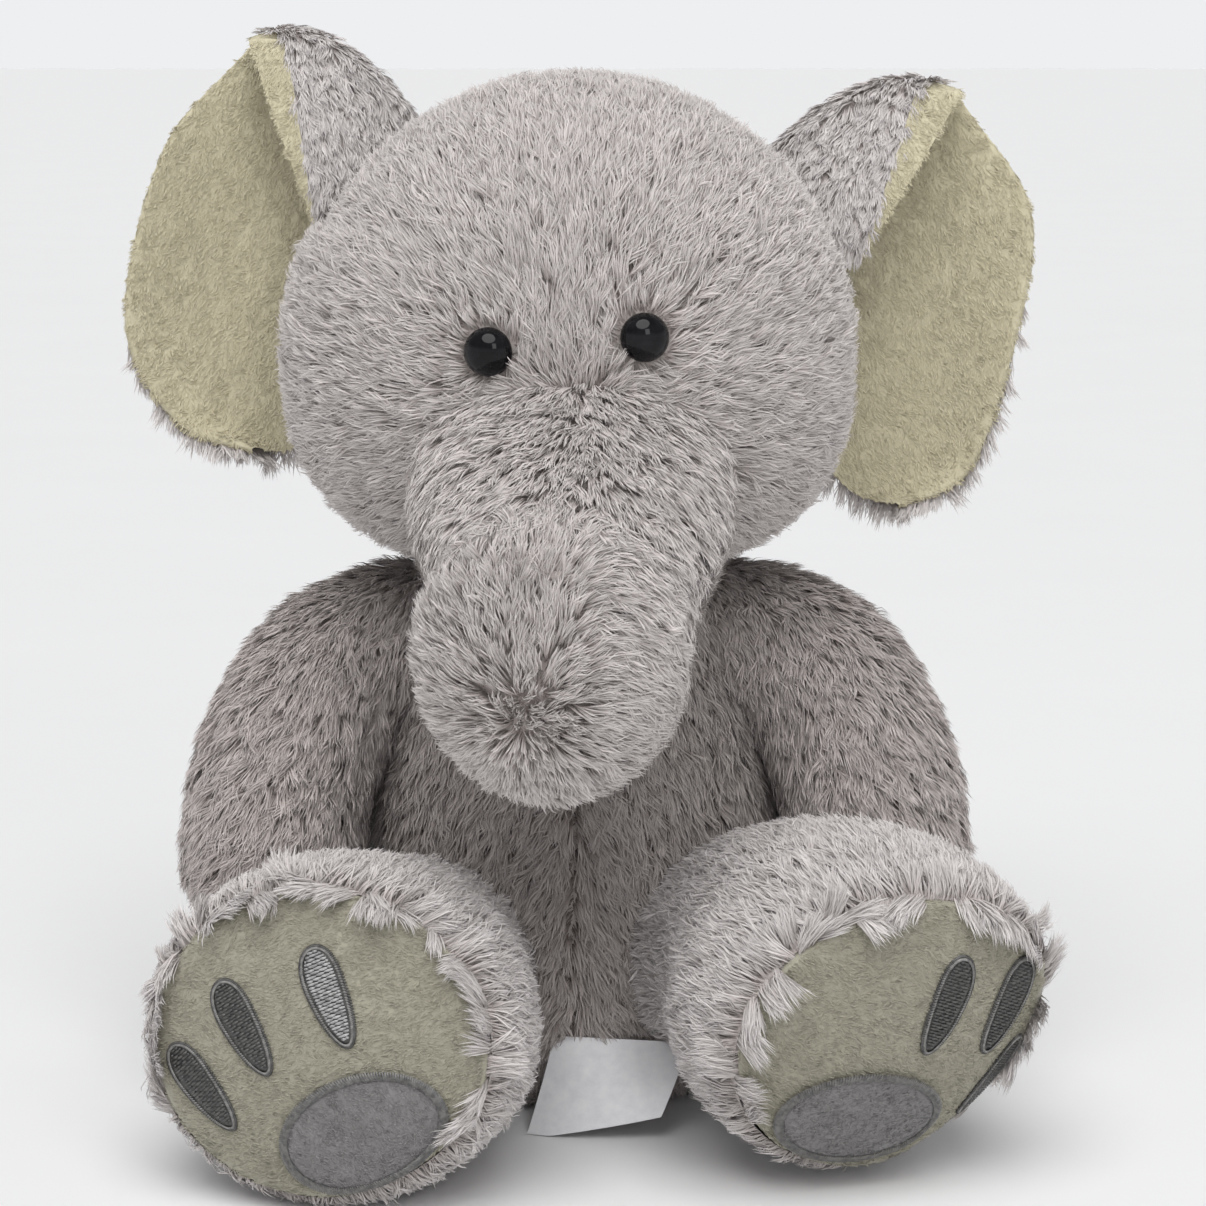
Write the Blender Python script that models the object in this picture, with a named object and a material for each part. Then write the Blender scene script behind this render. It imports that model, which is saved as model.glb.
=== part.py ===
"""Seated stuffed elephant: plush skin panels, stuffing, eyes, ears, trunk, limbs and embroidered soles.

The toy sits on the plane z = 0 and faces -Y. "left" names the -X side and "right" the +X side.
Lengths in the tables of constants are millimetres; MM turns them into metres when a mesh is made.
"""

import math

import bmesh
import bpy
import numpy as np
from mathutils import Matrix, Vector


MM = 0.001
SHIFT = np.array([-0.04, 25.72, 0.0])  # moves the bounding box's centre onto the Z axis
SIDES = {"left": -1.0, "right": 1.0}

SKIN_THICKNESS = 1.6
SEAM_GAP = 0.4  # each half panel's distance from the centre plane
FILL_GAP = 1.0  # between a skin and the stuffing inside it

NECK_PIVOT = np.array([0.0, -2.0, 118.0])
NECK_RADIUS = 33.0
NECK_CLEARANCE = 2.5

TORSO_ROWS = (  # height, half width, half depth, centre y
    (0.0, 32.0, 28.0, 2.0),
    (3.0, 42.0, 38.0, 2.5),
    (12.0, 49.0, 45.0, 3.0),
    (40.0, 52.0, 49.0, 3.0),
    (75.0, 48.0, 44.0, 2.0),
    (105.0, 38.5, 37.0, -0.5),
    (122.0, 33.5, 33.0, -2.0),
)
TORSO_TOP_ANGLES = (70.0, 52.0, 36.0)  # degrees from the neck pivot's vertical
TORSO_STEPS = 9  # round each half
TORSO_LEVELS = 10

HEAD_CENTRE = np.array([0.0, -12.0, 197.0])
HEAD_SIZE = np.array([67.0, 61.0, 60.0])
HEAD_FILL_FLOOR = 153.5

HEAD_STEPS = 10  # from front to back on each half
HEAD_ROWS = 12

EYE_ANGLES = {"left": (-16.8, -1.0), "right": (14.2, 2.2)}  # turn from straight ahead, rise
EYE_RADIUS = 6.0
EYE_HEIGHT = 5.2
EYE_SEAT = 0.8  # between the skin's outer face and the eye's back
EYE_RIM = 0.6  # height of the eye's straight rim
EYE_DOME_STEPS = 4
EYE_DOME_SPAN = 80.0  # degrees of the dome that are modelled before its flat top
EYE_SHANK_RADIUS = 1.5
EYE_SHANK_LENGTH = 10.0
EYE_HOLE_RADIUS = 2.0
CUTTER_TOP = 4.0
EYE_HOLE_DEPTH = 6.0
WASHER_RADIUS = 6.5
WASHER_THICKNESS = 1.2
WASHER_DEPTH = 3.4  # below the skin's outer face
WASHER_PLAY = 0.25  # round the shank
WASHER_POCKET_RADIUS = 8.0
WASHER_POCKET_DEPTH = 12.0

TRUNK_SPINE = (
    (0.0, -70.0, 167.0),
    (-1.0, -80.5, 155.5),
    (-3.0, -90.5, 141.5),
    (-5.5, -102.0, 132.0),
    (-8.0, -119.0, 127.0),
)
TRUNK_HALF_WIDTH = (13.0, 29.0, 30.0, 28.5, 0.0)
TRUNK_HALF_HEIGHT = (9.0, 23.0, 29.0, 29.0, 0.0)
TRUNK_SEGMENTS = 16
TRUNK_ROWS = 7
TRUNK_FILL_GAP = 2.5  # the filling keeps further away where the trunk bends

ARM_SPINE = (
    (43.5, -3.0, 116.0),
    (62.0, -8.0, 111.0),
    (78.5, -19.0, 89.0),
    (84.0, -28.0, 64.0),
    (85.0, -31.0, 46.0),
)
ARM_RADIUS = (14.5, 18.5, 18.5, 17.5, 0.0)
ARM_SHIFT = {"left": 0.0, "right": 1.0}
ARM_PIVOT = (46.0, -3.5, 116.0)
ARM_SEGMENTS = 12
ARM_ROWS = 6

LEGS = {  # root, sole centre, turn outward in degrees
    "left": ((-39.0, -43.0, 37.0), (-58.0, -107.0, 40.5), 12.0),
    "right": ((40.0, -42.0, 36.5), (74.0, -98.0, 40.0), 23.0),
}
LEG_SEGMENTS = 18
LEG_SPANS = 7
LEG_RIM_DEPTH = 0.5  # of the skin's rim behind the sole's centre
SOLE_PITCH = 7.0
LEG_HALF_WIDTH = (17.0, 27.0, 36.5, 41.0, 39.5)
LEG_HALF_HEIGHT = (17.0, 26.0, 34.0, 37.0, 35.5)

SOLE_HALF_WIDTH = 39.2
SOLE_HALF_HEIGHT = 34.6
SOLE_DOME = 6.0
SOLE_THICKNESS = 1.6
SOLE_SEGMENTS = 24
PATCH_LIFT = 0.3
PATCH_THICKNESS = 0.9
HEELS = {  # centre across, centre up, tilt in degrees
    "left": (-12.0, -16.0, -24.0),
    "right": (-10.0, -16.5, -4.0),
}
HEEL_HALF_WIDTH = 17.8
HEEL_HALF_HEIGHT = 12.0
HEEL_SEGMENTS = 20
BORDER_GAP = 0.3
BORDER_WIDTH = 1.7
BORDER_RISE = 0.3  # above the pad
TOES = {  # centre across, centre up, lean outward in degrees; across points away from the other foot
    "left": {"inner": (-4.5, 12.5, 26.0), "middle": (15.0, 5.5, 34.0), "outer": (27.0, -10.0, 42.0)},
    "right": {"inner": (5.5, 12.5, 23.0), "middle": (22.5, 7.0, 29.0), "outer": (31.0, -9.5, 38.0)},
}
TOE_LENGTH = 21.0
TOE_WIDTH = 9.2

EAR_ROWS = 9
FLAP_ROWS = 5
EAR_THICKNESS = 1.8
EAR_FOLD_RADIUS = 4.2
LINING_GAP = 0.7
LINING_THICKNESS = 1.2
EARS = {  # the seam to the head from low to high, the front flap's end, and the free edge from low to tip
    "left": {
        "base": ((-72.0, 4.0, 172.0), (-74.0, 9.0, 205.0), (-60.0, 14.0, 249.0)),
        "flap_end": (-77.0, -3.0, 212.0),
        "edge": (
            (-85.0, 3.0, 164.0),
            (-104.0, 3.0, 174.0),
            (-113.0, 3.0, 203.0),
            (-107.0, 6.0, 232.0),
            (-82.0, 12.0, 265.0),
        ),
    },
    "right": {
        "base": ((71.0, 4.0, 163.0), (74.0, 8.0, 200.0), (62.0, 14.0, 242.0)),
        "flap_end": (78.0, -4.0, 205.0),
        "edge": (
            (80.0, 3.0, 149.5),
            (98.0, 3.0, 159.0),
            (111.0, 2.0, 192.0),
            (112.0, 5.0, 226.0),
            (98.0, 12.0, 253.0),
        ),
    },
}
EAR_COLUMNS = 6
LINING_INSET = 0.06  # of the ear's size, from its edges
EAR_CUP = 6.0  # how far back the middle of the leaf lies
FLAP_BULGE = 4.0

LABEL_SIZE = (32.0, 24.0, 0.6)
LABEL_CENTRE = (7.5, -53.0, 12.3)
LABEL_TILT = 62.0
LABEL_TURN = -9.0

TAIL_SPINE = ((0.0, 55.5, 47.0), (0.0, 61.0, 42.0), (0.0, 64.0, 33.0), (0.0, 64.5, 23.0), (0.0, 64.5, 15.0))
TAIL_RADIUS = (3.4, 3.8, 4.2, 5.0, 0.0)
TAIL_SEGMENTS = 12
TAIL_ROWS = 6

FUR_GREY = (0.47, 0.42, 0.40)
CREAM = (0.76, 0.71, 0.49)
FIBRE = (0.85, 0.85, 0.83)
BLACK = (0.01, 0.01, 0.012)
PAD_GREY = (0.30, 0.28, 0.285)
THREAD_GREY = (0.08, 0.08, 0.085)
SATIN_WHITE = (0.86, 0.86, 0.87)


def clear_scene():
    for obj in list(bpy.data.objects):
        bpy.data.objects.remove(obj, do_unlink=True)


def make_material(name, colour, roughness):
    material = bpy.data.materials.new(name)
    material.use_nodes = True
    shader = material.node_tree.nodes["Principled BSDF"]
    shader.inputs["Base Color"].default_value = (*colour, 1.0)
    shader.inputs["Roughness"].default_value = roughness
    return material


def add_mesh(name, points, faces, colour, roughness=0.9, inside=None, thickness=0.0):
    """Makes one smooth object from points in millimetres; thickness grows inward from an open surface."""
    mesh = bpy.data.meshes.new(name)
    placed = (np.asarray(points) + SHIFT) * MM
    mesh.from_pydata(placed.tolist(), [], faces)
    work = bmesh.new()
    work.from_mesh(mesh)
    bmesh.ops.remove_doubles(work, verts=work.verts, dist=0.00001)
    bmesh.ops.recalc_face_normals(work, faces=work.faces)
    if inside is not None:
        centre = Vector(np.asarray(inside) + SHIFT) * MM
        outward = sum((face.calc_center_median() - centre).dot(face.normal) for face in work.faces)
        if outward < 0.0:
            bmesh.ops.reverse_faces(work, faces=work.faces)
    for face in work.faces:
        face.smooth = True
    work.to_mesh(mesh)
    work.free()
    mesh.materials.append(make_material(name, colour, roughness))
    obj = bpy.data.objects.new(name, mesh)
    bpy.context.scene.collection.objects.link(obj)
    if thickness:
        solid = obj.modifiers.new("thickness", "SOLIDIFY")
        solid.thickness = thickness * MM
        solid.offset = -1.0
    return obj


def grid_faces(rows, columns, wrap):
    faces = []
    for row in range(rows - 1):
        for column in range(columns if wrap else columns - 1):
            following = (column + 1) % columns
            start = row * columns
            above = start + columns
            faces.append((start + column, start + following, above + following, above + column))
    return faces


def smooth_values(values, positions):
    """Catmull-Rom values through evenly spaced keys, read at positions from 0 to 1."""
    keys = np.asarray(values, float)
    if keys.ndim == 1:
        keys = keys[:, None]
    padded = np.vstack([2 * keys[0] - keys[1], keys, 2 * keys[-1] - keys[-2]])
    spans = len(keys) - 1
    result = []
    for position in positions:
        span = min(int(position * spans), spans - 1)
        t = position * spans - span
        a, b, c, d = padded[span:span + 4]
        slope = c - a
        bend = 2 * a - 5 * b + 4 * c - d
        twist = 3 * b - a - 3 * c + d
        result.append(0.5 * (2 * b + slope * t + bend * t**2 + twist * t**3))
    return np.array(result)


def tube_rings(spine, half_width, half_height, positions, segments, inset=0.0, end_normal=None):
    """Rings of an oval tube about a smooth spine; a last half size of 0 rounds the end off."""
    closed = half_width[-1] == 0.0
    last = len(half_width) - 1
    spine = np.array(spine, float)
    if closed:
        tip_direction = spine[-1] - spine[-2]
        spine[-1] -= tip_direction / np.linalg.norm(tip_direction) * inset
    wide = list(half_width[:-1]) + [half_width[-2] if closed else half_width[-1]]
    tall = list(half_height[:-1]) + [half_height[-2] if closed else half_height[-1]]
    centres = smooth_values(spine, positions)
    widths = smooth_values(wide, positions)[:, 0]
    heights = smooth_values(tall, positions)[:, 0]
    ahead = smooth_values(spine, [min(p + 0.01, 1.0) for p in positions])
    behind = smooth_values(spine, [max(p - 0.01, 0.0) for p in positions])
    rings = []
    side = np.cross(ahead[0] - behind[0], (0.0, 0.0, 1.0))
    for index, position in enumerate(positions):
        forward = ahead[index] - behind[index]
        forward /= np.linalg.norm(forward)
        if end_normal is not None:
            blend = max(0.0, position * 2.0 - 1.0)
            forward = forward * (1.0 - blend) + np.asarray(end_normal) * blend
            forward /= np.linalg.norm(forward)
        side = side - forward * side.dot(forward)
        side /= np.linalg.norm(side)
        up = np.cross(side, forward)
        rounding = 1.0
        if closed:
            depth = max(0.0, position * last - (last - 1))
            rounding = math.sqrt(max(0.0, 1.0 - depth**2))
        wide_here = (widths[index] - inset) * rounding
        tall_here = (heights[index] - inset) * rounding
        ring = []
        for step in range(segments):
            angle = 2 * math.pi * step / segments
            offset = side * wide_here * math.cos(angle) + up * tall_here * math.sin(angle)
            ring.append(centres[index] + offset)
        rings.append(ring)
    return np.array(rings)


def closed_end_positions(count, keys):
    """Positions along a spine, closer together over the rounded last span."""
    last_start = (keys - 2) / (keys - 1)
    straight = [last_start * step / count for step in range(count)]
    rounded = [last_start + (1.0 - last_start) * math.sin(math.pi / 2 * step / 4) for step in range(4)]
    return straight + rounded


def add_tube_skin(name, rings, tip=None, colour=FUR_GREY):
    """An open tube of skin, closed by a fan to the point tip when one is given."""
    points = rings.reshape(-1, 3).tolist()
    segments = rings.shape[1]
    faces = grid_faces(len(rings), segments, True)
    if tip is not None:
        start = (len(rings) - 1) * segments
        faces += [(start + step, start + (step + 1) % segments, len(points)) for step in range(segments)]
        points.append(list(tip))
    return add_mesh(name, points, faces, colour, inside=rings.mean(axis=(0, 1)), thickness=SKIN_THICKNESS)


def add_core(name, rings, colour=FIBRE, roughness=0.95):
    """A closed solid through the rings, with a cap at each end."""
    segments = rings.shape[1]
    points = rings.reshape(-1, 3).tolist()
    faces = grid_faces(len(rings), segments, True)
    for ring in (0, len(rings) - 1):
        start = ring * segments
        points.append(list(rings[ring].mean(axis=0)))
        centre = len(points) - 1
        faces += [(start + step, start + (step + 1) % segments, centre) for step in range(segments)]
    return add_mesh(name, points, faces, colour, roughness, inside=rings.mean(axis=(0, 1)))


def torso_profile(inset=0.0):
    """Height, half width, half depth and centre y of the torso's rings, from the seat to the neck."""
    positions = [step / TORSO_LEVELS for step in range(TORSO_LEVELS + 1)]
    top = TORSO_ROWS[-1][0]
    rows = []
    for height, width, depth, centre in smooth_values(TORSO_ROWS, positions):
        rows.append((inset + height * (top - inset) / top, width - inset, depth - inset, centre))
    for degrees in TORSO_TOP_ANGLES:
        angle = math.radians(degrees)
        radius = (NECK_RADIUS - inset) * math.sin(angle)
        height = NECK_PIVOT[2] + (NECK_RADIUS - inset) * math.cos(angle)
        rows.append((height, radius, radius, NECK_PIVOT[1]))
    return rows


def add_torso():
    profile = torso_profile()
    steps = TORSO_STEPS
    middle = (0.0, 0.0, TORSO_ROWS[-1][0] / 2)
    for side, sign in SIDES.items():
        rows = [[(sign * SEAM_GAP, profile[0][3], 0.0)] * (steps + 1)]
        for height, width, depth, centre in profile:
            row = []
            for step in range(steps + 1):
                turn = math.pi * (step / steps - 0.5)
                x = sign * (width * math.cos(turn) + SEAM_GAP)
                row.append((x, centre + depth * math.sin(turn), height))
            rows.append(row)
        points = np.array(rows).reshape(-1, 3)
        faces = grid_faces(len(rows), steps + 1, False)
        add_mesh(f"torso_skin_{side}", points, faces, FUR_GREY, inside=middle, thickness=SKIN_THICKNESS)
    inset = SKIN_THICKNESS + FILL_GAP
    rings = []
    for height, width, depth, centre in torso_profile(inset):
        ring = []
        for step in range(2 * steps):
            turn = math.pi * step / steps
            ring.append((width * math.cos(turn), centre + depth * math.sin(turn), height))
        rings.append(ring)
    add_core("torso_stuffing", np.array(rings))


def head_point(polar, turn, inset=0.0):
    """A point on the head: polar angle from the top, turn from straight ahead towards +X."""
    size = HEAD_SIZE - inset
    direction = (math.sin(polar) * math.sin(turn), -math.sin(polar) * math.cos(turn), math.cos(polar))
    return HEAD_CENTRE + size * direction


def head_rim_polar(turn):
    """The polar angle at which the head's skin ends, at its clearance from the neck."""
    low, high = math.pi / 2, math.pi
    for _ in range(40):
        middle = (low + high) / 2
        distance = np.linalg.norm(head_point(middle, turn) - NECK_PIVOT)
        if distance > NECK_RADIUS + SKIN_THICKNESS + NECK_CLEARANCE:
            low = middle
        else:
            high = middle
    return low


def cut(target, cutters):
    for cutter in cutters:
        cutter.hide_render = True
        cutter.display_type = "WIRE"
        boolean = target.modifiers.new(cutter.name, "BOOLEAN")
        boolean.operation = "DIFFERENCE"
        boolean.solver = "EXACT"
        boolean.object = cutter


def add_head():
    rows, steps = HEAD_ROWS, HEAD_STEPS
    cutters = {side: eye_cutters(side) for side in SIDES}
    for side, sign in SIDES.items():
        grid = []
        for row in range(rows + 1):
            line = []
            for step in range(steps + 1):
                turn = math.pi * step / steps
                point = head_point(head_rim_polar(turn) * row / rows, turn)
                line.append((sign * (point[0] + SEAM_GAP), point[1], point[2]))
            grid.append(line)
        points = np.array(grid).reshape(-1, 3)
        faces = grid_faces(rows + 1, steps + 1, False)
        skin = add_mesh(
            f"head_skin_{side}", points, faces, FUR_GREY, inside=HEAD_CENTRE, thickness=SKIN_THICKNESS
        )
        cut(skin, [cutters[side][0]])
    inset = SKIN_THICKNESS + FILL_GAP
    top_polar = 0.06  # leaves a small cap at the top
    floor_polar = math.acos((HEAD_FILL_FLOOR - HEAD_CENTRE[2]) / (HEAD_SIZE[2] - inset))
    rings = []
    for row in range(rows + 1):
        polar = top_polar + (floor_polar - top_polar) * row / rows
        rings.append([head_point(polar, math.pi * step / steps, inset) for step in range(2 * steps)])
    stuffing = add_core("head_stuffing", np.array(rings))
    cut(stuffing, [cutters[side][1] for side in SIDES])


def eye_frame(side):
    """The point on the head's skin under an eye, and the skin's outward normal there."""
    turn, rise = (math.radians(value) for value in EYE_ANGLES[side])
    point = head_point(math.pi / 2 - rise, turn)
    normal = (point - HEAD_CENTRE) / HEAD_SIZE**2
    return point, normal / np.linalg.norm(normal)


def revolve(name, origin, axis, profile, colour, roughness, segments=16, hollow=False):
    """Turns (radius, height) pairs about an axis; a hollow profile joins its last pair to its first."""
    axis = np.asarray(axis)
    side = np.cross(axis, (0.0, 0.0, 1.0))
    side /= np.linalg.norm(side)
    other = np.cross(axis, side)
    rings = []
    for radius, height in profile:
        ring = []
        for step in range(segments):
            angle = 2 * math.pi * step / segments
            outward = side * math.cos(angle) + other * math.sin(angle)
            ring.append(origin + axis * height + radius * outward)
        rings.append(ring)
    rings = np.array(rings)
    if not hollow:
        return add_core(name, rings, colour, roughness)
    points = rings.reshape(-1, 3)
    faces = grid_faces(len(rings), segments, True)
    start = (len(rings) - 1) * segments
    for step in range(segments):
        following = (step + 1) % segments
        faces.append((start + step, start + following, following, step))
    return add_mesh(name, points, faces, colour, roughness)


def eye_cutters(side):
    """Cutters for the shank's hole in the skin and for the washer's pocket in the stuffing."""
    origin, axis = eye_frame(side)
    hole_profile = [(EYE_HOLE_RADIUS, -EYE_HOLE_DEPTH), (EYE_HOLE_RADIUS, CUTTER_TOP)]
    pocket_profile = [(WASHER_POCKET_RADIUS, -WASHER_POCKET_DEPTH), (WASHER_POCKET_RADIUS, CUTTER_TOP)]
    hole = revolve(f"cut_shank_{side}", origin, axis, hole_profile, BLACK, 0.5)
    pocket = revolve(f"cut_washer_{side}", origin, axis, pocket_profile, BLACK, 0.5)
    return hole, pocket


def add_eyes():
    for side in SIDES:
        origin, axis = eye_frame(side)
        profile = [
            (EYE_SHANK_RADIUS, -EYE_SHANK_LENGTH),
            (EYE_SHANK_RADIUS, EYE_SEAT),
            (EYE_RADIUS, EYE_SEAT),
        ]
        for step in range(1, EYE_DOME_STEPS + 1):
            angle = math.radians(EYE_DOME_SPAN) * step / EYE_DOME_STEPS
            height = EYE_SEAT + EYE_RIM + (EYE_HEIGHT - EYE_RIM) * math.sin(angle)
            profile.append((EYE_RADIUS * math.cos(angle), height))
        revolve(f"eye_{side}", origin, axis, profile, BLACK, 0.08)
        inner, outer = EYE_SHANK_RADIUS + WASHER_PLAY, WASHER_RADIUS
        top, bottom = -WASHER_DEPTH, -WASHER_DEPTH - WASHER_THICKNESS
        loop = [(inner, top), (outer, top), (outer, bottom), (inner, bottom)]
        revolve(f"eye_washer_{side}", origin, axis, loop, SATIN_WHITE, 0.4, hollow=True)


def add_trunk():
    positions = closed_end_positions(TRUNK_ROWS, len(TRUNK_SPINE))
    shape = (TRUNK_SPINE, TRUNK_HALF_WIDTH, TRUNK_HALF_HEIGHT, positions, TRUNK_SEGMENTS)
    add_tube_skin("trunk_skin", tube_rings(*shape), TRUNK_SPINE[-1])
    add_core("trunk_stuffing", tube_rings(*shape, SKIN_THICKNESS + TRUNK_FILL_GAP))


def add_arms():
    positions = closed_end_positions(ARM_ROWS, len(ARM_SPINE))
    for side, sign in SIDES.items():
        spine = [(sign * (x + ARM_SHIFT[side]), y, z) for x, y, z in ARM_SPINE]
        shape = (spine, ARM_RADIUS, ARM_RADIUS, positions, ARM_SEGMENTS)
        add_tube_skin(f"arm_skin_{side}", tube_rings(*shape), spine[-1])
        add_core(f"arm_stuffing_{side}", tube_rings(*shape, SKIN_THICKNESS + FILL_GAP))


def sole_frame(side):
    """The sole's centre, outward normal, across direction (away from the other foot) and up direction."""
    _, centre, turn = LEGS[side]
    sign = SIDES[side]
    yaw, pitch = math.radians(turn), math.radians(SOLE_PITCH)
    level = math.cos(pitch)
    normal = np.array([sign * math.sin(yaw) * level, -math.cos(yaw) * level, math.sin(pitch)])
    across = np.cross((0.0, 0.0, 1.0), normal)
    across *= math.copysign(1.0, across[0] * sign) / np.linalg.norm(across)
    up = np.cross(normal, across)
    up *= math.copysign(1.0, up[2])
    return np.array(centre), normal, across, up


def add_legs():
    positions = [step / LEG_SPANS for step in range(LEG_SPANS + 1)]
    for side in SIDES:
        root = np.array(LEGS[side][0])
        centre, normal, _, _ = sole_frame(side)
        rim = centre - normal * LEG_RIM_DEPTH
        control = rim - normal * np.linalg.norm(rim - root) * 0.5
        spine = []
        for step in range(len(LEG_HALF_WIDTH)):
            t = step / (len(LEG_HALF_WIDTH) - 1)
            spine.append((1 - t) ** 2 * root + 2 * t * (1 - t) * control + t**2 * rim)
        shape = (spine, LEG_HALF_WIDTH, LEG_HALF_HEIGHT, positions, LEG_SEGMENTS)
        add_tube_skin(f"leg_skin_{side}", tube_rings(*shape, 0.0, normal))
        filling = tube_rings(*shape, SKIN_THICKNESS + FILL_GAP, normal)
        add_core(f"leg_stuffing_{side}", filling[:-1])


def sole_height(across, up):
    return SOLE_DOME * (1.0 - (across / SOLE_HALF_WIDTH) ** 2 - (up / SOLE_HALF_HEIGHT) ** 2)


def add_patch(name, side, outlines, lift, thickness, colour, roughness=0.9, centre_point=None):
    """A sheet over the sole's dome through nested outlines, closed at centre_point when one is given."""
    centre, normal, across, up = sole_frame(side)
    count = len(outlines[0])

    def placed(point, height):
        level = sole_height(*point) + height
        return centre + across * point[0] + up * point[1] + normal * level

    layers = []
    for height in (lift, lift + thickness):
        layers.append([[placed(point, height) for point in outline] for outline in outlines])
    points = np.array(layers).reshape(-1, 3).tolist()
    layer_size = len(outlines) * count
    faces = []
    for layer in range(2):
        faces += [[layer * layer_size + v for v in face] for face in grid_faces(len(outlines), count, True)]
    for step in range(count):
        following = (step + 1) % count
        outer = (len(outlines) - 1) * count
        above = layer_size + outer
        faces.append((outer + step, outer + following, above + following, above + step))
        if centre_point is None:
            faces.append((step, following, layer_size + following, layer_size + step))
    if centre_point is not None:
        for layer, height in enumerate((lift, lift + thickness)):
            start = layer * layer_size
            faces += [(start + step, start + (step + 1) % count, len(points)) for step in range(count)]
            points.append(list(placed(centre_point, height)))
    return add_mesh(name, points, faces, colour, roughness)


def oval(half_width, half_height, count, tilt=0.0, centre=(0.0, 0.0)):
    points = []
    lean = math.radians(tilt)
    for step in range(count):
        angle = 2 * math.pi * step / count
        a, b = half_width * math.cos(angle), half_height * math.sin(angle)
        points.append((
            centre[0] + a * math.cos(lean) - b * math.sin(lean),
            centre[1] + a * math.sin(lean) + b * math.cos(lean),
        ))
    return points


def toe_outline(centre, lean, scale, count=14):
    """A teardrop that is wide at its outward end."""
    points = []
    turn = math.radians(lean)
    for step in range(count):
        angle = 2 * math.pi * step / count
        along = TOE_LENGTH / 2 * math.cos(angle) * scale
        taper = 0.78 + 0.3 * math.cos(angle)
        across = TOE_WIDTH / 2 * math.sin(angle) * taper * scale
        points.append((
            centre[0] + along * math.sin(turn) + across * math.cos(turn),
            centre[1] + along * math.cos(turn) - across * math.sin(turn),
        ))
    return points


def add_soles():
    for side in SIDES:
        scales = (0.4, 0.75, 1.0)
        outlines = [oval(SOLE_HALF_WIDTH * s, SOLE_HALF_HEIGHT * s, SOLE_SEGMENTS) for s in scales]
        add_patch(f"sole_{side}", side, outlines, 0.0, SOLE_THICKNESS, CREAM, centre_point=(0.0, 0.0))
        lift = SOLE_THICKNESS + PATCH_LIFT
        centre, tilt = HEELS[side][:2], HEELS[side][2]
        heel = []
        for scale in (0.5, 1.0):
            half_width, half_height = HEEL_HALF_WIDTH * scale, HEEL_HALF_HEIGHT * scale
            heel.append(oval(half_width, half_height, HEEL_SEGMENTS, tilt, centre))
        add_patch(f"heel_pad_{side}", side, heel, lift, PATCH_THICKNESS, PAD_GREY, centre_point=centre)
        border = []
        for grow in (BORDER_GAP, BORDER_GAP + BORDER_WIDTH):
            half_width, half_height = HEEL_HALF_WIDTH + grow, HEEL_HALF_HEIGHT + grow
            border.append(oval(half_width, half_height, HEEL_SEGMENTS, tilt, centre))
        add_patch(f"heel_border_{side}", side, border, lift, PATCH_THICKNESS + BORDER_RISE, THREAD_GREY)
        for toe, (across, up, lean) in TOES[side].items():
            place = (across, up)
            rings = [toe_outline(place, lean, scale) for scale in (0.5, 1.0)]
            name = f"toe_{toe}_{side}"
            add_patch(name, side, rings, lift, PATCH_THICKNESS, THREAD_GREY, 0.5, centre_point=place)


def ear_rows(side, across_count, inset_fraction=0.0):
    """Rows of the ear's sheet from its low end, up to the tip fold, then down the front flap."""
    positions = np.linspace(0.0, 1.0, EAR_ROWS)
    leaf_base = smooth_values(EARS[side]["base"], positions)
    leaf_edge = smooth_values(EARS[side]["edge"], positions)
    flap_end = np.array(EARS[side]["flap_end"])
    across = np.linspace(inset_fraction, 1.0 - inset_fraction, across_count)[:, None]
    forward = np.array([0.0, -1.0, 0.0])
    up = np.array([0.0, 0.0, 1.0])
    cup = -forward * EAR_CUP * 4.0 * across * (1.0 - across)
    rows = []
    for position, base, edge in zip(positions, leaf_base, leaf_edge):
        rows.append(base * (1 - across) + edge * across + cup * (1.0 - position**2))
    fold_base, fold_edge = leaf_base[-1], leaf_edge[-1]
    for degrees in (60.0, 120.0, 180.0):
        turn = math.radians(degrees)
        shift = EAR_FOLD_RADIUS * (forward * (1 - math.cos(turn)) + up * math.sin(turn))
        rows.append(fold_base * (1 - across) + fold_edge * across + shift)
    flap_shift = forward * 2 * EAR_FOLD_RADIUS
    for step in range(1, FLAP_ROWS):
        down = step / FLAP_ROWS * (1.0 - inset_fraction)
        base = (fold_base + flap_shift) * (1 - down) + flap_end * down
        edge = (fold_edge + flap_shift) * (1 - down) + flap_end * down
        bulge = forward * FLAP_BULGE * math.sin(math.pi * down)
        rows.append(base * (1 - across) + edge * across + bulge)
    return np.array(rows)


def sheet_solid(name, rows, near, thickness, colour):
    """A closed sheet: rows moved along their own normals by near, then by near + thickness."""
    du = np.gradient(rows, axis=0)
    dv = np.gradient(rows, axis=1)
    normals = np.cross(du, dv)
    normals /= np.linalg.norm(normals, axis=2, keepdims=True)
    count, width = rows.shape[:2]
    layers = [rows + normals * near, rows + normals * (near + thickness)]
    points = np.array(layers).reshape(-1, 3)
    size = count * width
    faces = []
    for layer in range(2):
        faces += [[layer * size + v for v in face] for face in grid_faces(count, width, False)]
    edge = list(range(width))
    edge += [row * width + width - 1 for row in range(1, count)]
    edge += [(count - 1) * width + column for column in range(width - 2, -1, -1)]
    edge += [row * width for row in range(count - 2, 0, -1)]
    for here, following in zip(edge, edge[1:] + edge[:1]):
        faces.append((here, following, size + following, size + here))
    return add_mesh(name, points, faces, colour)


def add_ears():
    for side, sign in SIDES.items():
        outer = ear_rows(side, EAR_COLUMNS)
        sheet_solid(f"ear_outer_{side}", outer, 0.0, sign * EAR_THICKNESS, FUR_GREY)
        lining = ear_rows(side, EAR_COLUMNS, LINING_INSET)[:-2]
        sheet_solid(f"ear_lining_{side}", lining, -sign * LINING_GAP, -sign * LINING_THICKNESS, CREAM)


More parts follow.
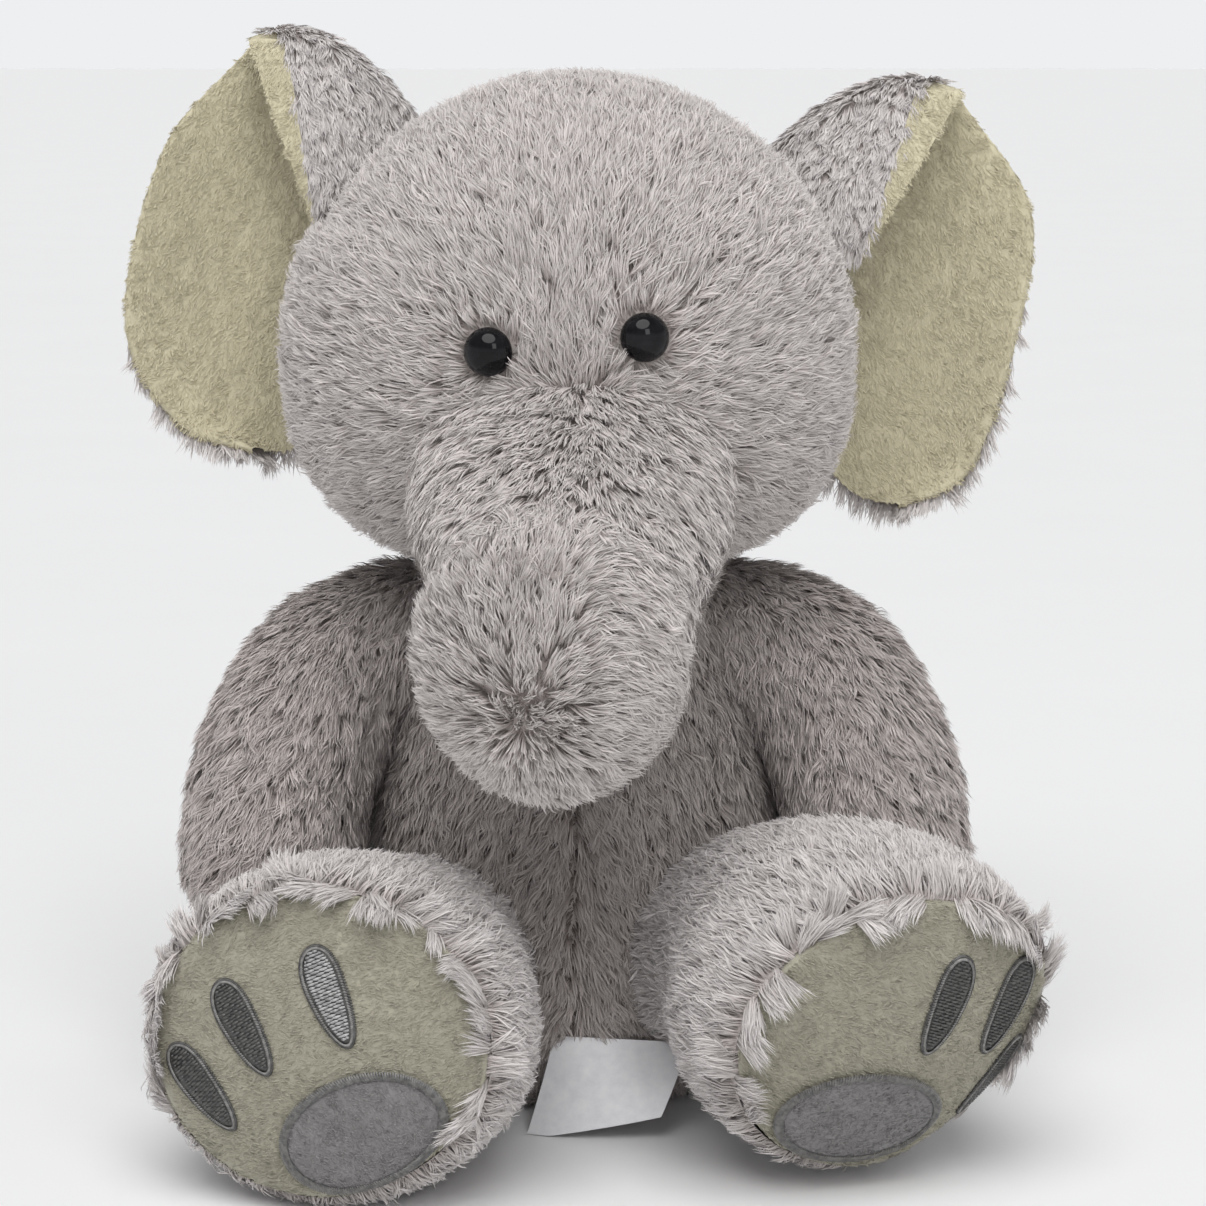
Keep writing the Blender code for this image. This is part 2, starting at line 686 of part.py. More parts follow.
def add_label():
    width, length, thickness = LABEL_SIZE
    tilt, turn = math.radians(LABEL_TILT), math.radians(LABEL_TURN)
    points = []
    corners = ((-0.5, -0.5), (0.5, -0.5), (0.5, 0.5), (-0.5, 0.5))
    for z in (-thickness / 2, thickness / 2):
        for x, y in (np.array(corners) * (width, length)).tolist():
            level = z + y * math.sin(tilt)
            flat_y = y * math.cos(tilt)
            points.append((
                LABEL_CENTRE[0] + x * math.cos(turn) - flat_y * math.sin(turn),
                LABEL_CENTRE[1] + x * math.sin(turn) + flat_y * math.cos(turn),
                LABEL_CENTRE[2] + level,
            ))
    faces = [(3, 2, 1, 0), (4, 5, 6, 7), (0, 1, 5, 4), (1, 2, 6, 5), (2, 3, 7, 6), (3, 0, 4, 7)]
    add_mesh("care_label", points, faces, SATIN_WHITE, 0.4)


def add_tail():
    positions = closed_end_positions(TAIL_ROWS, len(TAIL_SPINE))
    rings = tube_rings(TAIL_SPINE, TAIL_RADIUS, TAIL_RADIUS, positions, TAIL_SEGMENTS)
    add_core("tail", rings, FUR_GREY)


def add_pivot(name, place, parent, parts):
    """An empty on a moving piece's joint; the parts' meshes are kept about it and hang from it."""
    pivot = bpy.data.objects.new(f"pivot_{name}", None)
    bpy.context.scene.collection.objects.link(pivot)
    origin = Vector((np.asarray(place) + SHIFT) * MM)
    pivot.location = origin
    if parent is not None:
        pivot.parent = parent
        pivot.location = origin - world_place(parent)
    for part in parts:
        obj = bpy.data.objects[part]
        obj.data.transform(Matrix.Translation(-origin))
        obj.parent = pivot
    return pivot


def world_place(pivot):
    """Where a pivot stands, summed up its chain of parents."""
    place = Vector((0.0, 0.0, 0.0))
    while pivot is not None:
        place += pivot.location
        pivot = pivot.parent
    return place


def hang_parts():
    seat = (0.0, 0.0, 0.0)
    torso_parts = ("torso_skin_left", "torso_skin_right", "torso_stuffing", "care_label")
    torso = add_pivot("torso", seat, None, torso_parts)
    head_parts = ["head_skin_left", "head_skin_right", "head_stuffing"]
    head_parts += [f"{piece}_{side}" for piece in ("eye", "eye_washer") for side in SIDES]
    head = add_pivot("head", NECK_PIVOT, torso, head_parts)
    add_pivot("trunk", TRUNK_SPINE[0], head, ("trunk_skin", "trunk_stuffing"))
    add_pivot("tail", TAIL_SPINE[0], torso, ("tail",))
    sole_pieces = ("sole", "heel_pad", "heel_border", "toe_inner", "toe_middle", "toe_outer")
    for side, sign in SIDES.items():
        ear_parts = (f"ear_outer_{side}", f"ear_lining_{side}")
        add_pivot(f"ear_{side}", EARS[side]["base"][0], head, ear_parts)
        shoulder = (sign * (ARM_PIVOT[0] + ARM_SHIFT[side]), ARM_PIVOT[1], ARM_PIVOT[2])
        add_pivot(f"arm_{side}", shoulder, torso, (f"arm_skin_{side}", f"arm_stuffing_{side}"))
        leg_parts = [f"leg_skin_{side}", f"leg_stuffing_{side}"]
        leg_parts += [f"{piece}_{side}" for piece in sole_pieces]
        add_pivot(f"leg_{side}", LEGS[side][0], torso, leg_parts)


clear_scene()
add_torso()
add_head()
add_eyes()
add_trunk()
add_ears()
add_arms()
add_legs()
add_soles()
add_label()
add_tail()
hang_parts()
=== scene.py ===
from math import atan2, ceil, copysign, cos, hypot, pi, radians, sin, sqrt

import bpy
import numpy as np
from mathutils.kdtree import KDTree
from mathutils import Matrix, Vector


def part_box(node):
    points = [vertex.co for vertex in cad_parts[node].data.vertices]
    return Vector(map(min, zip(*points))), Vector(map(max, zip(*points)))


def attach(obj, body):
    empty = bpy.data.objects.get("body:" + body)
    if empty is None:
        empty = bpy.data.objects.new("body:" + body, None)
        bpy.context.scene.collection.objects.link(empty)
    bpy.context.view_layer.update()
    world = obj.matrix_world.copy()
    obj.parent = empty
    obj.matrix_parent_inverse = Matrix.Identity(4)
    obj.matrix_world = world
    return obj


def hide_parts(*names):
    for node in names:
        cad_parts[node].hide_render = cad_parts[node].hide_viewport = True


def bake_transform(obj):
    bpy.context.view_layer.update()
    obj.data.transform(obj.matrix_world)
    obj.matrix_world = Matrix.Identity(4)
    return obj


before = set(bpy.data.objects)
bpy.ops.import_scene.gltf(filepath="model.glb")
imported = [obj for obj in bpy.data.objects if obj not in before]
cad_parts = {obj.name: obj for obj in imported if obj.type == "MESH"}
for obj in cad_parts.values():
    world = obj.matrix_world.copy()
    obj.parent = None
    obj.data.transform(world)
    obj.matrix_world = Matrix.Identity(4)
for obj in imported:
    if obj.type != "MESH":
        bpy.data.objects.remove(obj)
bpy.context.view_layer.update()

# Lengths below are millimetres in the toy's own drawing: x = 0 is its seam plane, the torso's middle is
# near y = 0, and it faces -Y. SHIFT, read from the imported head, moves the drawing into the frame.
MM = 0.001
HEAD_CENTRE = np.array([0, -12, 197])
HEAD_SIZE = np.array([67, 61, 60])


def frame_shift():
    low, _ = (np.array(corner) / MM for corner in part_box("head_skin_left"))
    low_right, high = (np.array(corner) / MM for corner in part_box("head_skin_right"))
    middle = (low + high) / 2
    return np.array([middle[0], (low_right[1] + high[1]) / 2 - HEAD_CENTRE[1], 0])


SHIFT = frame_shift()
SIDES = {"left": -1, "right": 1}
FLOOR_CLEAR = 0.25  # nothing goes below this height
LOWEST_ROOT = 1.2  # no strand of the legs starts below it

CAMERA_TARGET = np.array([7, 0, 124])
CAMERA_RISE = 10
CAMERA_DISTANCE = 800
FIELD_WIDTH = 313  # seen across the picture at the target
SENSOR_WIDTH = 36
FLOOR_REACH = 90  # in metres, far past the picture's edge

# Fur colours from tip to root; the darker middle and root are painted shade of the gaps between tufts.
FUR_TIP = (0.72, 0.68, 0.665)
FUR_MIDDLE = (0.56, 0.512, 0.492)
FUR_SHADED_ROOT = (0.31, 0.265, 0.245)
LINING_LIGHT = (0.66, 0.61, 0.44)
LINING_DARK = (0.54, 0.495, 0.345)
# The soles are the ear lining's cream velboa painted darker: painted shade on the low soles, away from the
# overhead light.
SHADED_SOLE_LIGHT = (0.39, 0.371, 0.295)
SHADED_SOLE_DARK = (0.335, 0.317, 0.248)
STRAND_TINT = (0.94, 0.93, 0.925)  # what a strand of middling lightness multiplies its colour by
MOST_STRANDS = 38000  # in one piece of fur
SIDE_SEED = {"left": 1, "right": 2}  # added to the seeds of paired pieces


# Materials


def new_material(name, shader_values):
    """A node material's shader, with helpers that add nodes and links to its tree."""
    material = bpy.data.materials.new(name)
    material.use_nodes = True
    tree = material.node_tree
    shader = tree.nodes["Principled BSDF"]
    for key, value in shader_values.items():
        shader.inputs[key].default_value = value

    def node(kind, **settings):
        made = tree.nodes.new(kind)
        for key, value in settings.items():
            if isinstance(value, (int, float, tuple)) and key in made.inputs:
                made.inputs[key].default_value = value
            else:
                setattr(made, key, value)
        return made

    return material, shader, node, tree.links.new


def ramp_stops(ramp, stops):
    elements = ramp.color_ramp.elements
    while len(elements) < len(stops):
        elements.new(0.5)
    for element, (place, colour) in zip(elements, stops):
        element.position = place
        element.color = (*colour, 1)


def speckle(shader, node, link, dark, light, **noise):
    """Colours the shader by a noise that runs through the object; returns the place and noise nodes."""
    place = node("ShaderNodeTexCoord")
    speckles = node("ShaderNodeTexNoise", **noise)
    link(place.outputs["Object"], speckles.inputs["Vector"])
    colour = node("ShaderNodeValToRGB")
    ramp_stops(colour, [dark, light])
    link(speckles.outputs["Fac"], colour.inputs["Fac"])
    link(colour.outputs["Color"], shader.inputs["Base Color"])
    return place, speckles


def fur_material(name, root, middle, tip, roughness=0.62, variety=0.7):
    """Colour runs from root to tip along each strand, darker at the root as painted shade between tufts, and
    every strand is a little lighter or darker.
    """
    values = {"Roughness": roughness, "Specular IOR Level": 0.25, "Sheen Weight": 0.3}
    material, shader, node, link = new_material(name, values)
    place = node("ShaderNodeUVMap", uv_map="OFBake")
    split = node("ShaderNodeSeparateXYZ")
    link(place.outputs["UV"], split.inputs["Vector"])
    along = node("ShaderNodeValToRGB")
    ramp_stops(along, [(0, root), (0.42, middle), (0.9, tip), (1, tip)])
    link(split.outputs["X"], along.inputs["Fac"])
    tint = node("ShaderNodeValToRGB")
    spread = (-0.34 * variety, 0, 0.24 * variety)
    stops = [(step / 2, tuple(part + shift for part in STRAND_TINT)) for step, shift in enumerate(spread)]
    ramp_stops(tint, stops)
    link(split.outputs["Y"], tint.inputs["Fac"])
    mix = node("ShaderNodeMix", data_type="RGBA", blend_type="MULTIPLY")
    mix.inputs["Factor"].default_value = 1
    link(along.outputs["Color"], mix.inputs["A"])
    link(tint.outputs["Color"], mix.inputs["B"])
    link(mix.outputs["Result"], shader.inputs["Base Color"])
    return material


def woven_material(name, light, dark, scale, roughness, sheen=0.3, bump=0.25):
    """Cloth with mottled colour and a fine bump."""
    values = {"Roughness": roughness, "Sheen Weight": sheen}
    material, shader, node, link = new_material(name, values)
    mottle = {"Scale": scale, "Detail": 6, "Roughness": 0.65}
    place, _ = speckle(shader, node, link, (0.3, dark), (0.7, light), **mottle)
    grain = node("ShaderNodeTexNoise", Scale=scale * 9, Detail=3)
    link(place.outputs["Object"], grain.inputs["Vector"])
    relief = node("ShaderNodeBump", Strength=bump, Distance=0.0006)
    link(grain.outputs["Fac"], relief.inputs["Height"])
    link(relief.outputs["Normal"], shader.inputs["Normal"])
    return material


def thread_material(name, dark, light):
    """Rayon thread: fine uneven colour and a soft gloss."""
    material, shader, node, link = new_material(name, {"Roughness": 0.36, "Specular IOR Level": 0.7})
    speckle(shader, node, link, (0.35, dark), (0.65, light), Scale=900, Detail=4)
    return material


def eye_material():
    """Polished black plastic whose roughness varies a little."""
    material, shader, node, link = new_material("eye_black", {"Specular IOR Level": 0.22})
    dark, light = (0.4, (0.004, 0.004, 0.005)), (0.7, (0.010, 0.010, 0.012))
    _, depth = speckle(shader, node, link, dark, light, Scale=260, Detail=3)
    haze = node("ShaderNodeMapRange")
    haze.inputs["To Min"].default_value = 0.03
    haze.inputs["To Max"].default_value = 0.10
    link(depth.outputs["Fac"], haze.inputs["Value"])
    link(haze.outputs["Result"], shader.inputs["Roughness"])
    return material


FUR = fur_material("plush_fur", FUR_SHADED_ROOT, FUR_MIDDLE, FUR_TIP)
# A darker copy of the plush for the torso: painted shade under the head and trunk.
FUR_PAINTED_SHADE = fur_material("plush_fur_body_painted_shade", (0.10, 0.073, 0.062), (0.36, 0.315, 0.295), (0.56, 0.515, 0.495))
FUR_LIGHT = fur_material("plush_fur_foot", (0.44, 0.395, 0.375), (0.62, 0.58, 0.565), (0.74, 0.71, 0.70))
FUR_ARM = fur_material("plush_fur_arm", (0.27, 0.228, 0.21), (0.46, 0.41, 0.39), (0.60, 0.55, 0.532))
LINING_NAP = fur_material("lining_nap", LINING_DARK, LINING_LIGHT, LINING_LIGHT, 0.8, 0.2)
# Sole nap in the darkened sole colours: painted shade.
SHADED_SOLE_NAP = fur_material("sole_nap_painted_shade", SHADED_SOLE_DARK, SHADED_SOLE_LIGHT, SHADED_SOLE_LIGHT, 0.8, 0.2)
PAD_NAP = fur_material("pad_nap", (0.21, 0.202, 0.202), (0.25, 0.24, 0.24), (0.28, 0.27, 0.27), 0.8, 0.4)
BACKING = woven_material("plush_backing", (0.50, 0.45, 0.43), (0.36, 0.31, 0.29), 420, 0.95)
LINING_CLOTH = woven_material("lining_velboa", LINING_LIGHT, LINING_DARK, 130, 0.9)
# Sole cloth in the darkened sole colours: painted shade.
SHADED_SOLE_CLOTH = woven_material("sole_velboa_painted_shade", SHADED_SOLE_LIGHT, SHADED_SOLE_DARK, 130, 0.9)
PAD_CLOTH = woven_material("grey_velboa", (0.24, 0.23, 0.23), (0.17, 0.162, 0.162), 200, 0.9)
SATIN = woven_material("label_satin", (0.86, 0.86, 0.87), (0.74, 0.74, 0.77), 300, 0.35, 0.1, 0.1)
DARK_THREAD = thread_material("dark_thread", (0.030, 0.029, 0.028), (0.10, 0.097, 0.092))
EDGE_THREAD = thread_material("edge_thread", (0.13, 0.127, 0.122), (0.27, 0.265, 0.255))
BORDER_THREAD = thread_material("border_thread", (0.065, 0.063, 0.061), (0.17, 0.166, 0.16))
# Light thread for one toe of the same dark glossy thread: a painted highlight where it catches the light.
GLINT_THREAD = thread_material("painted_glint_thread", (0.20, 0.198, 0.197), (0.48, 0.475, 0.47))
EYE = eye_material()


# Mesh helpers


def to_frame(points):
    return (np.asarray(points, float) + SHIFT) * MM


def add_object(name, data):
    obj = bpy.data.objects.new(name, data)
    bpy.context.scene.collection.objects.link(obj)
    return obj


def link_object(name, mesh, material):
    mesh.materials.append(material)
    return add_object(name, mesh)


def mesh_object(name, points, faces, material):
    """An object from points in the drawing; none of them goes below the floor."""
    points = np.array(points, float)
    points[:, 2] = np.maximum(points[:, 2], FLOOR_CLEAR)
    mesh = bpy.data.meshes.new(name)
    mesh.from_pydata(to_frame(points).tolist(), [], faces)
    mesh.validate()
    mesh.shade_smooth()
    return link_object(name, mesh, material)


def grid_faces(rows, columns, wrap):
    faces = []
    for row in range(rows - 1):
        for column in range(columns if wrap else columns - 1):
            following = (column + 1) % columns
            start, above = row * columns, (row + 1) * columns
            faces.append((start + column, start + following, above + following, above + column))
    return faces


def smooth_values(keys, positions):
    """Catmull-Rom values through evenly spaced keys, read at positions from 0 to 1."""
    keys = np.asarray(keys, float)
    if keys.ndim == 1:
        keys = keys[:, None]
    padded = np.vstack([2 * keys[0] - keys[1], keys, 2 * keys[-1] - keys[-2]])
    positions = np.asarray(positions, float)
    spans = len(keys) - 1
    span = np.minimum((positions * spans).astype(int), spans - 1)
    t = (positions * spans - span)[:, None]
    a, b, c, d = (padded[span + step] for step in range(4))
    return 0.5 * (2 * b + (c - a) * t + (2 * a - 5 * b + 4 * c - d) * t**2 + (3 * b - a - 3 * c + d) * t**3)


def unit(vectors):
    return vectors / np.maximum(np.linalg.norm(vectors, axis=-1, keepdims=True), 1e-9)


class Surface:
    """A quad mesh in drawing millimetres, with outward vertex normals, from which fur grows."""

    def __init__(self, points, faces, inside=None):
        self.points = np.asarray(points, float)
        self.faces = faces
        triangles = []
        for face in faces:
            triangles.append(face[:3])
            if len(face) == 4:
                triangles.append((face[0], face[2], face[3]))
        self.triangles = np.array(triangles)
        corners = self.points[self.triangles]
        crossed = np.cross(corners[:, 1] - corners[:, 0], corners[:, 2] - corners[:, 0])
        if inside is not None:
            outward = ((corners.mean(axis=1) - inside) * crossed).sum()
            if outward < 0:
                crossed = -crossed
                self.faces = [tuple(reversed(face)) for face in faces]
        self.areas = np.linalg.norm(crossed, axis=1) / 2
        normals = np.zeros_like(self.points)
        for corner in range(3):
            np.add.at(normals, self.triangles[:, corner], crossed)
        self.normals = unit(normals)

    def sample(self, count, rng, keep):
        """Points and normals spread evenly over the area, where keep says so."""
        picked = rng.choice(len(self.triangles), size=count, p=self.areas / self.areas.sum())
        first = np.sqrt(rng.random(count))[:, None]
        second = rng.random(count)[:, None]
        weights = (1 - first, first * (1 - second), first * second)
        corners = self.triangles[picked]
        points = sum(w * self.points[corners[:, k]] for k, w in enumerate(weights))
        normals = unit(sum(w * self.normals[corners[:, k]] for k, w in enumerate(weights)))
        kept = keep(points)
        return points[kept], normals[kept]


def rings_surface(rings, inside, start_point=None, end_point=None):
    """A surface through closed rings, with a fan to a point at either end."""
    count, segments = rings.shape[:2]
    points = rings.reshape(-1, 3).tolist()
    faces = grid_faces(count, segments, True)
    for point, ring in ((start_point, 0), (end_point, count - 1)):
        if point is None:
            continue
        start = ring * segments
        for step in range(segments):
            following = (step + 1) % segments
            if ring == 0:
                faces.append((start + following, start + step, len(points)))
            else:
                faces.append((start + step, start + following, len(points)))
        points.append(list(point))
    return Surface(points, faces, inside)


# Fur

STATIONS = np.array([0, 0.36, 0.78, 1])  # shares of a strand's length at which it has points
WIDTHS = np.array([0.75, 1, 0.95])  # shares of its width there; it ends in a point
LIFT_LIMITS = (0.1, 0.97)
OWN_TURN = 0.30  # how far a strand may turn from its tuft
TIP_WOBBLE = 0.16
TINT_WIDTH = 0.012  # how much of the tint layer one strand covers
NAP = {
    "density": 5, "lift": 0.26, "clump_gap": 2.6, "clumping": 0.05, "width": 0.24, "mess": 0.5,
    "crinkle": 0.1,
}


def everywhere(points):
    """Keeps every point, or changes nothing as a factor."""
    return np.ones(len(points), bool)


def curve_of(roots, normals, combs, lengths, lift):
    """Strand points: they leave along the normal and bend over towards the comb direction."""
    lift = lift[:, None, None]
    t = STATIONS[None, :, None]
    rise = t * (1 - 0.38 * t) * lift
    run = t * (0.45 + 0.55 * t) * np.sqrt(1 - lift**2)
    step = normals[:, None, :] * rise + combs[:, None, :] * run
    return roots[:, None, :] + step * lengths[:, None, None]


def comb_directions(normals, wanted):
    """The wanted directions laid into the surface."""
    laid = wanted - normals * (wanted * normals).sum(axis=1, keepdims=True)
    return unit(laid)


def grow_fur(
    name, surface, comb, seed, density=3.3, length=9.5, lift=0.55, clump_gap=1.7, clumping=0.46,
    width=0.29, keep=everywhere, length_at=everywhere, lift_at=everywhere, clumping_at=everywhere,
    mess=0.45, crinkle=0.42, ragged=0.26, material=FUR, slot="grey_plush",
):
    """Tapered strands over a surface, gathered into tufts, as one or more pieces.

    comb gives the direction the pile is brushed in at some points; keep says which roots stay;
    length_at, lift_at and clumping_at scale the length, the lift and the gathering by place; ragged is
    how much strands differ in length.
    """
    rng = np.random.default_rng(seed)
    area = surface.areas.sum()
    roots, normals = surface.sample(int(area * density), rng, keep)
    guide_roots, guide_normals = surface.sample(int(area / clump_gap**2), rng, keep)
    guide_count, count = len(guide_roots), len(roots)

    guide_combs = comb_directions(guide_normals, comb(guide_roots))
    wander = comb_directions(guide_normals, rng.normal(size=(guide_count, 3)))
    guide_combs = unit(guide_combs + wander * mess * rng.random((guide_count, 1)) * 1.6)
    guide_lengths = length * rng.uniform(0.84, 1.12, guide_count) * length_at(guide_roots)
    guide_lift = np.clip(lift + rng.normal(0, 0.09, guide_count), 0.12, 0.95)
    guide_lift = np.clip(guide_lift * lift_at(guide_roots), *LIFT_LIMITS)
    guide_curves = curve_of(guide_roots, guide_normals, guide_combs, guide_lengths, guide_lift)
    guide_curves[:, 1:] += rng.normal(0, crinkle, (guide_count, len(STATIONS) - 1, 3))

    tree = KDTree(guide_count)
    for index, point in enumerate(guide_roots):
        tree.insert(point, index)
    tree.balance()
    nearest = np.array([tree.find(point)[1] for point in roots])

    own_combs = unit(guide_combs[nearest] + comb_directions(normals, rng.normal(size=(count, 3))) * OWN_TURN)
    shares = 1.08 - ragged * rng.random(count)
    own_lengths = guide_lengths[nearest] * shares
    own_lift = np.clip(guide_lift[nearest] + rng.normal(0, 0.07, count), *LIFT_LIMITS)
    curves = curve_of(roots, normals, own_combs, own_lengths, own_lift)
    guide_starts = guide_roots[nearest][:, None, :]
    gathered = guide_starts + (guide_curves[nearest] - guide_starts) * shares[:, None, None]

    strength = clumping * rng.uniform(0.55, 1, count) * clumping_at(roots)
    gather = (1 - (1 - STATIONS) ** 2) * (1 - 0.3 * STATIONS)
    pull = gather[None, :, None] * strength[:, None, None] * 1.25
    curves = curves * (1 - pull) + gathered * pull
    curves[:, 1:] += rng.normal(0, TIP_WOBBLE, (count, len(STATIONS) - 1, 3)) * STATIONS[None, 1:, None]
    floor = FLOOR_CLEAR - SHIFT[2]
    curves[..., 2] = np.maximum(curves[..., 2], floor + rng.uniform(0, 0.5, (count, 1)))

    ahead = unit(curves[:, -1] - curves[:, 0])
    flat = unit(np.cross(ahead, normals) + 1e-6)
    other = np.cross(ahead, flat)
    roll = rng.uniform(-0.9, 0.9, count)[:, None]
    across = flat * np.cos(roll) + other * np.sin(roll)
    half = 0.5 * width * rng.uniform(0.75, 1.25, count)[:, None, None] * WIDTHS[None, :, None]
    left = curves[:, :-1] - across[:, None, :] * half
    right = curves[:, :-1] + across[:, None, :] * half
    points = np.concatenate([left, right, curves[:, -1:]], axis=1)
    tint = np.clip(rng.normal(0.5, 0.17, count) + rng.normal(0, 0.12, guide_count)[nearest], 0.01, 0.985)

    pieces = ceil(count / MOST_STRANDS)
    objects = []
    for index, chosen in enumerate(np.array_split(np.argsort(roots[:, 2]), pieces)):
        piece_name = f"{name}_{index + 1}" if pieces > 1 else name
        obj = strand_mesh(piece_name, points[chosen].reshape(-1, 3), tint[chosen], material)
        objects.append(obj)
    return objects


def strand_mesh(name, points, tint, material):
    """Strands of seven points each: three left, three right and the tip; two quads and a triangle."""
    count = len(tint)
    mesh = bpy.data.meshes.new(name)
    mesh.vertices.add(len(points))
    mesh.vertices.foreach_set("co", to_frame(points).astype(np.float32).ravel())
    loop_pattern = np.array([0, 3, 4, 1, 1, 4, 5, 2, 2, 5, 6])
    loops = (np.arange(count)[:, None] * 7 + loop_pattern).ravel()
    mesh.loops.add(len(loops))
    mesh.loops.foreach_set("vertex_index", loops.astype(np.int32))
    sizes = np.tile(np.array([4, 4, 3]), count)
    mesh.polygons.add(len(sizes))
    starts = np.concatenate([[0], np.cumsum(sizes)[:-1]])
    mesh.polygons.foreach_set("loop_start", starts.astype(np.int32))
    layer = mesh.uv_layers.new(name="OFBake")
    u_pattern = STATIONS[np.array([0, 0, 1, 1, 1, 1, 2, 2, 2, 2, 3])]
    v_pattern = np.array([0, 1, 1, 0, 0, 1, 1, 0, 0, 1, 0.5]) * TINT_WIDTH
    uv = np.empty((count, 11, 2), np.float32)
    uv[..., 0] = u_pattern
    uv[..., 1] = tint[:, None] + v_pattern
    layer.data.foreach_set("uv", uv.ravel())
    mesh.update(calc_edges=True)
    mesh.shade_smooth()
    return link_object(name, mesh, material)


def one_way(direction):
    """A comb that points the same way everywhere."""
    return lambda points: np.tile(direction, (len(points), 1))


def ride_all(objects, body):
    for obj in objects:
        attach(obj, body)


def blend_all(objects):
    """Applies each object's transform to its mesh, leaving it on no body."""
    for obj in objects:
        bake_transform(obj)


def plain_piece(name, surface, material, replaced):
    """A piece that stands for one node of the frame."""
    obj = mesh_object(name, surface.points, surface.faces, material)
    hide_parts(replaced)
    return obj


def soft_piece(name, surface, replaced):
    """A stuffed piece that stands for its skins and its stuffing."""
    obj = mesh_object(name, surface.points, surface.faces, BACKING)
    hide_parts(*replaced)
    return obj


# Head and trunk

TRUNK_SPINE = (
    (-0.5, -40, 170), (-0.5, -60, 164), (-1, -78, 154),
    (-2.5, -91, 140), (-5, -102, 127), (-7, -119, 119),
)
TRUNK_HALF_WIDTH = (36, 36, 34.5, 28.5, 28.5, 27)
TRUNK_HALF_HEIGHT = (28, 27, 27, 27.5, 32, 31)
TRUNK_ROUND = 0.78  # where its tip begins to close
BROW = np.array([0, -70, 190])
WHIRL = np.array([-13, -124, 113])  # where the tip's pile stands on end
FACE_PARTING = np.array([1, -70, 180])
CHEEK = 0.085  # how much fuller the cheeks are than an egg
LEFT_FULLNESS = 3.5
EYE_TURN_RISE = {"left": (-16.8, -1), "right": (14.2, 2.2)}
EYE_RADIUS = 5.8


def head_point(polar, turn):
    """A point on the head, from its polar angle and its turn from straight ahead; the cheeks are fuller."""
    flat = np.sin(polar)
    direction = np.stack([flat * np.sin(turn), -flat * np.cos(turn), np.cos(polar)], axis=-1)
    fullness = 1 - 0.06 * direction[..., 2:3] * np.array([1, 0.4, 0])
    low = direction[..., 2:3] < 0
    cheek = np.sin(2 * np.asarray(polar)[..., None]) ** 2 * np.sin(np.asarray(turn)[..., None]) ** 2
    return HEAD_CENTRE + HEAD_SIZE * direction * (fullness + CHEEK * low * cheek)


def head_surface():
    polar = np.linspace(0.04, pi - 0.3, 44)
    turn = np.linspace(0, 2 * pi, 72, endpoint=False)
    grid_polar, grid_turn = np.meshgrid(polar, turn, indexing="ij")
    rings = head_point(grid_polar, grid_turn)
    left = np.clip(-np.sin(grid_turn), 0, 1) * np.sin(grid_polar) * (grid_polar > 1.2)
    rings[..., 0] -= LEFT_FULLNESS * left
    top = head_point(np.array(0), np.array(0))
    return rings_surface(rings, HEAD_CENTRE, start_point=top)


def tube_rings(spine, half_width, half_height, positions, segments, round_from=1, end_normal=None):
    """Rings of an oval tube; after round_from (0 to 1) it closes like the end of an egg."""
    ahead, back = np.minimum(positions + 0.01, 1), np.maximum(positions - 0.01, 0)
    centres = smooth_values(spine, positions)
    widths = smooth_values(half_width, positions)[:, 0]
    heights = smooth_values(half_height, positions)[:, 0]
    directions = unit(smooth_values(spine, ahead) - smooth_values(spine, back))
    side = np.cross(directions[0], (0, 0, 1))
    angles = np.linspace(0, 2 * pi, segments, endpoint=False)[:, None]
    rings = []
    for index, position in enumerate(positions):
        forward = directions[index]
        if end_normal is not None:
            share = max(0, position * 2 - 1)
            forward = unit(forward * (1 - share) + end_normal * share)
        side = unit(side - forward * side.dot(forward))
        up = np.cross(side, forward)
        rounding = 1
        if position > round_from:
            rounding = sqrt(max(0, 1 - ((position - round_from) / (1 - round_from)) ** 2))
        wide = side * np.cos(angles) * widths[index] * rounding
        high = up * np.sin(angles) * heights[index] * rounding
        rings.append(centres[index] + wide + high)
    return np.array(rings)


def rounded_positions(straight, rounded, round_from):
    first = np.linspace(0, round_from, straight, endpoint=False)
    second = round_from + (1 - round_from) * np.sin(np.linspace(0, pi / 2, rounded, endpoint=False))
    return np.concatenate([first, second])


def trunk_surface():
    positions = rounded_positions(30, 14, TRUNK_ROUND)
    rings = tube_rings(TRUNK_SPINE, TRUNK_HALF_WIDTH, TRUNK_HALF_HEIGHT, positions, 48, TRUNK_ROUND)
    return rings_surface(rings, rings.mean(axis=(0, 1)), end_point=TRUNK_SPINE[-1])


def inside_head(points, grow):
    local = (points - HEAD_CENTRE) / (HEAD_SIZE + grow)
    return (local**2).sum(axis=1) < 1


def outside_head(points):
    return ~inside_head(points, -1)


def eye_place(side):
    turn, rise = (radians(value) for value in EYE_TURN_RISE[side])
    point = head_point(np.array(pi / 2 - rise), np.array(turn))
    axis = unit((point - HEAD_CENTRE) / HEAD_SIZE**2)
    return point, axis


def near_eyes(points):
    """Distance from the nearer eye's edge."""
    gaps = [np.linalg.norm(points - eye_place(side)[0], axis=1) for side in SIDES]
    return np.minimum(*gaps) - EYE_RADIUS


def head_comb(points):
    """Away from the trunk's root, up over the brow and out over the cheeks, then down at the back."""
    away = points - FACE_PARTING
    for side in SIDES:
        eye, _ = eye_place(side)
        offset = points - eye
        gap = np.linalg.norm(offset, axis=1, keepdims=True)
        away = away + offset / gap * 30 * np.exp(-((gap - EYE_RADIUS) / 5))
    behind = np.clip((points[:, 1:2] - 5) / 25, 0, 1)
    return unit(away) * (1 - behind) + np.array([0, 0.35, -1]) * behind


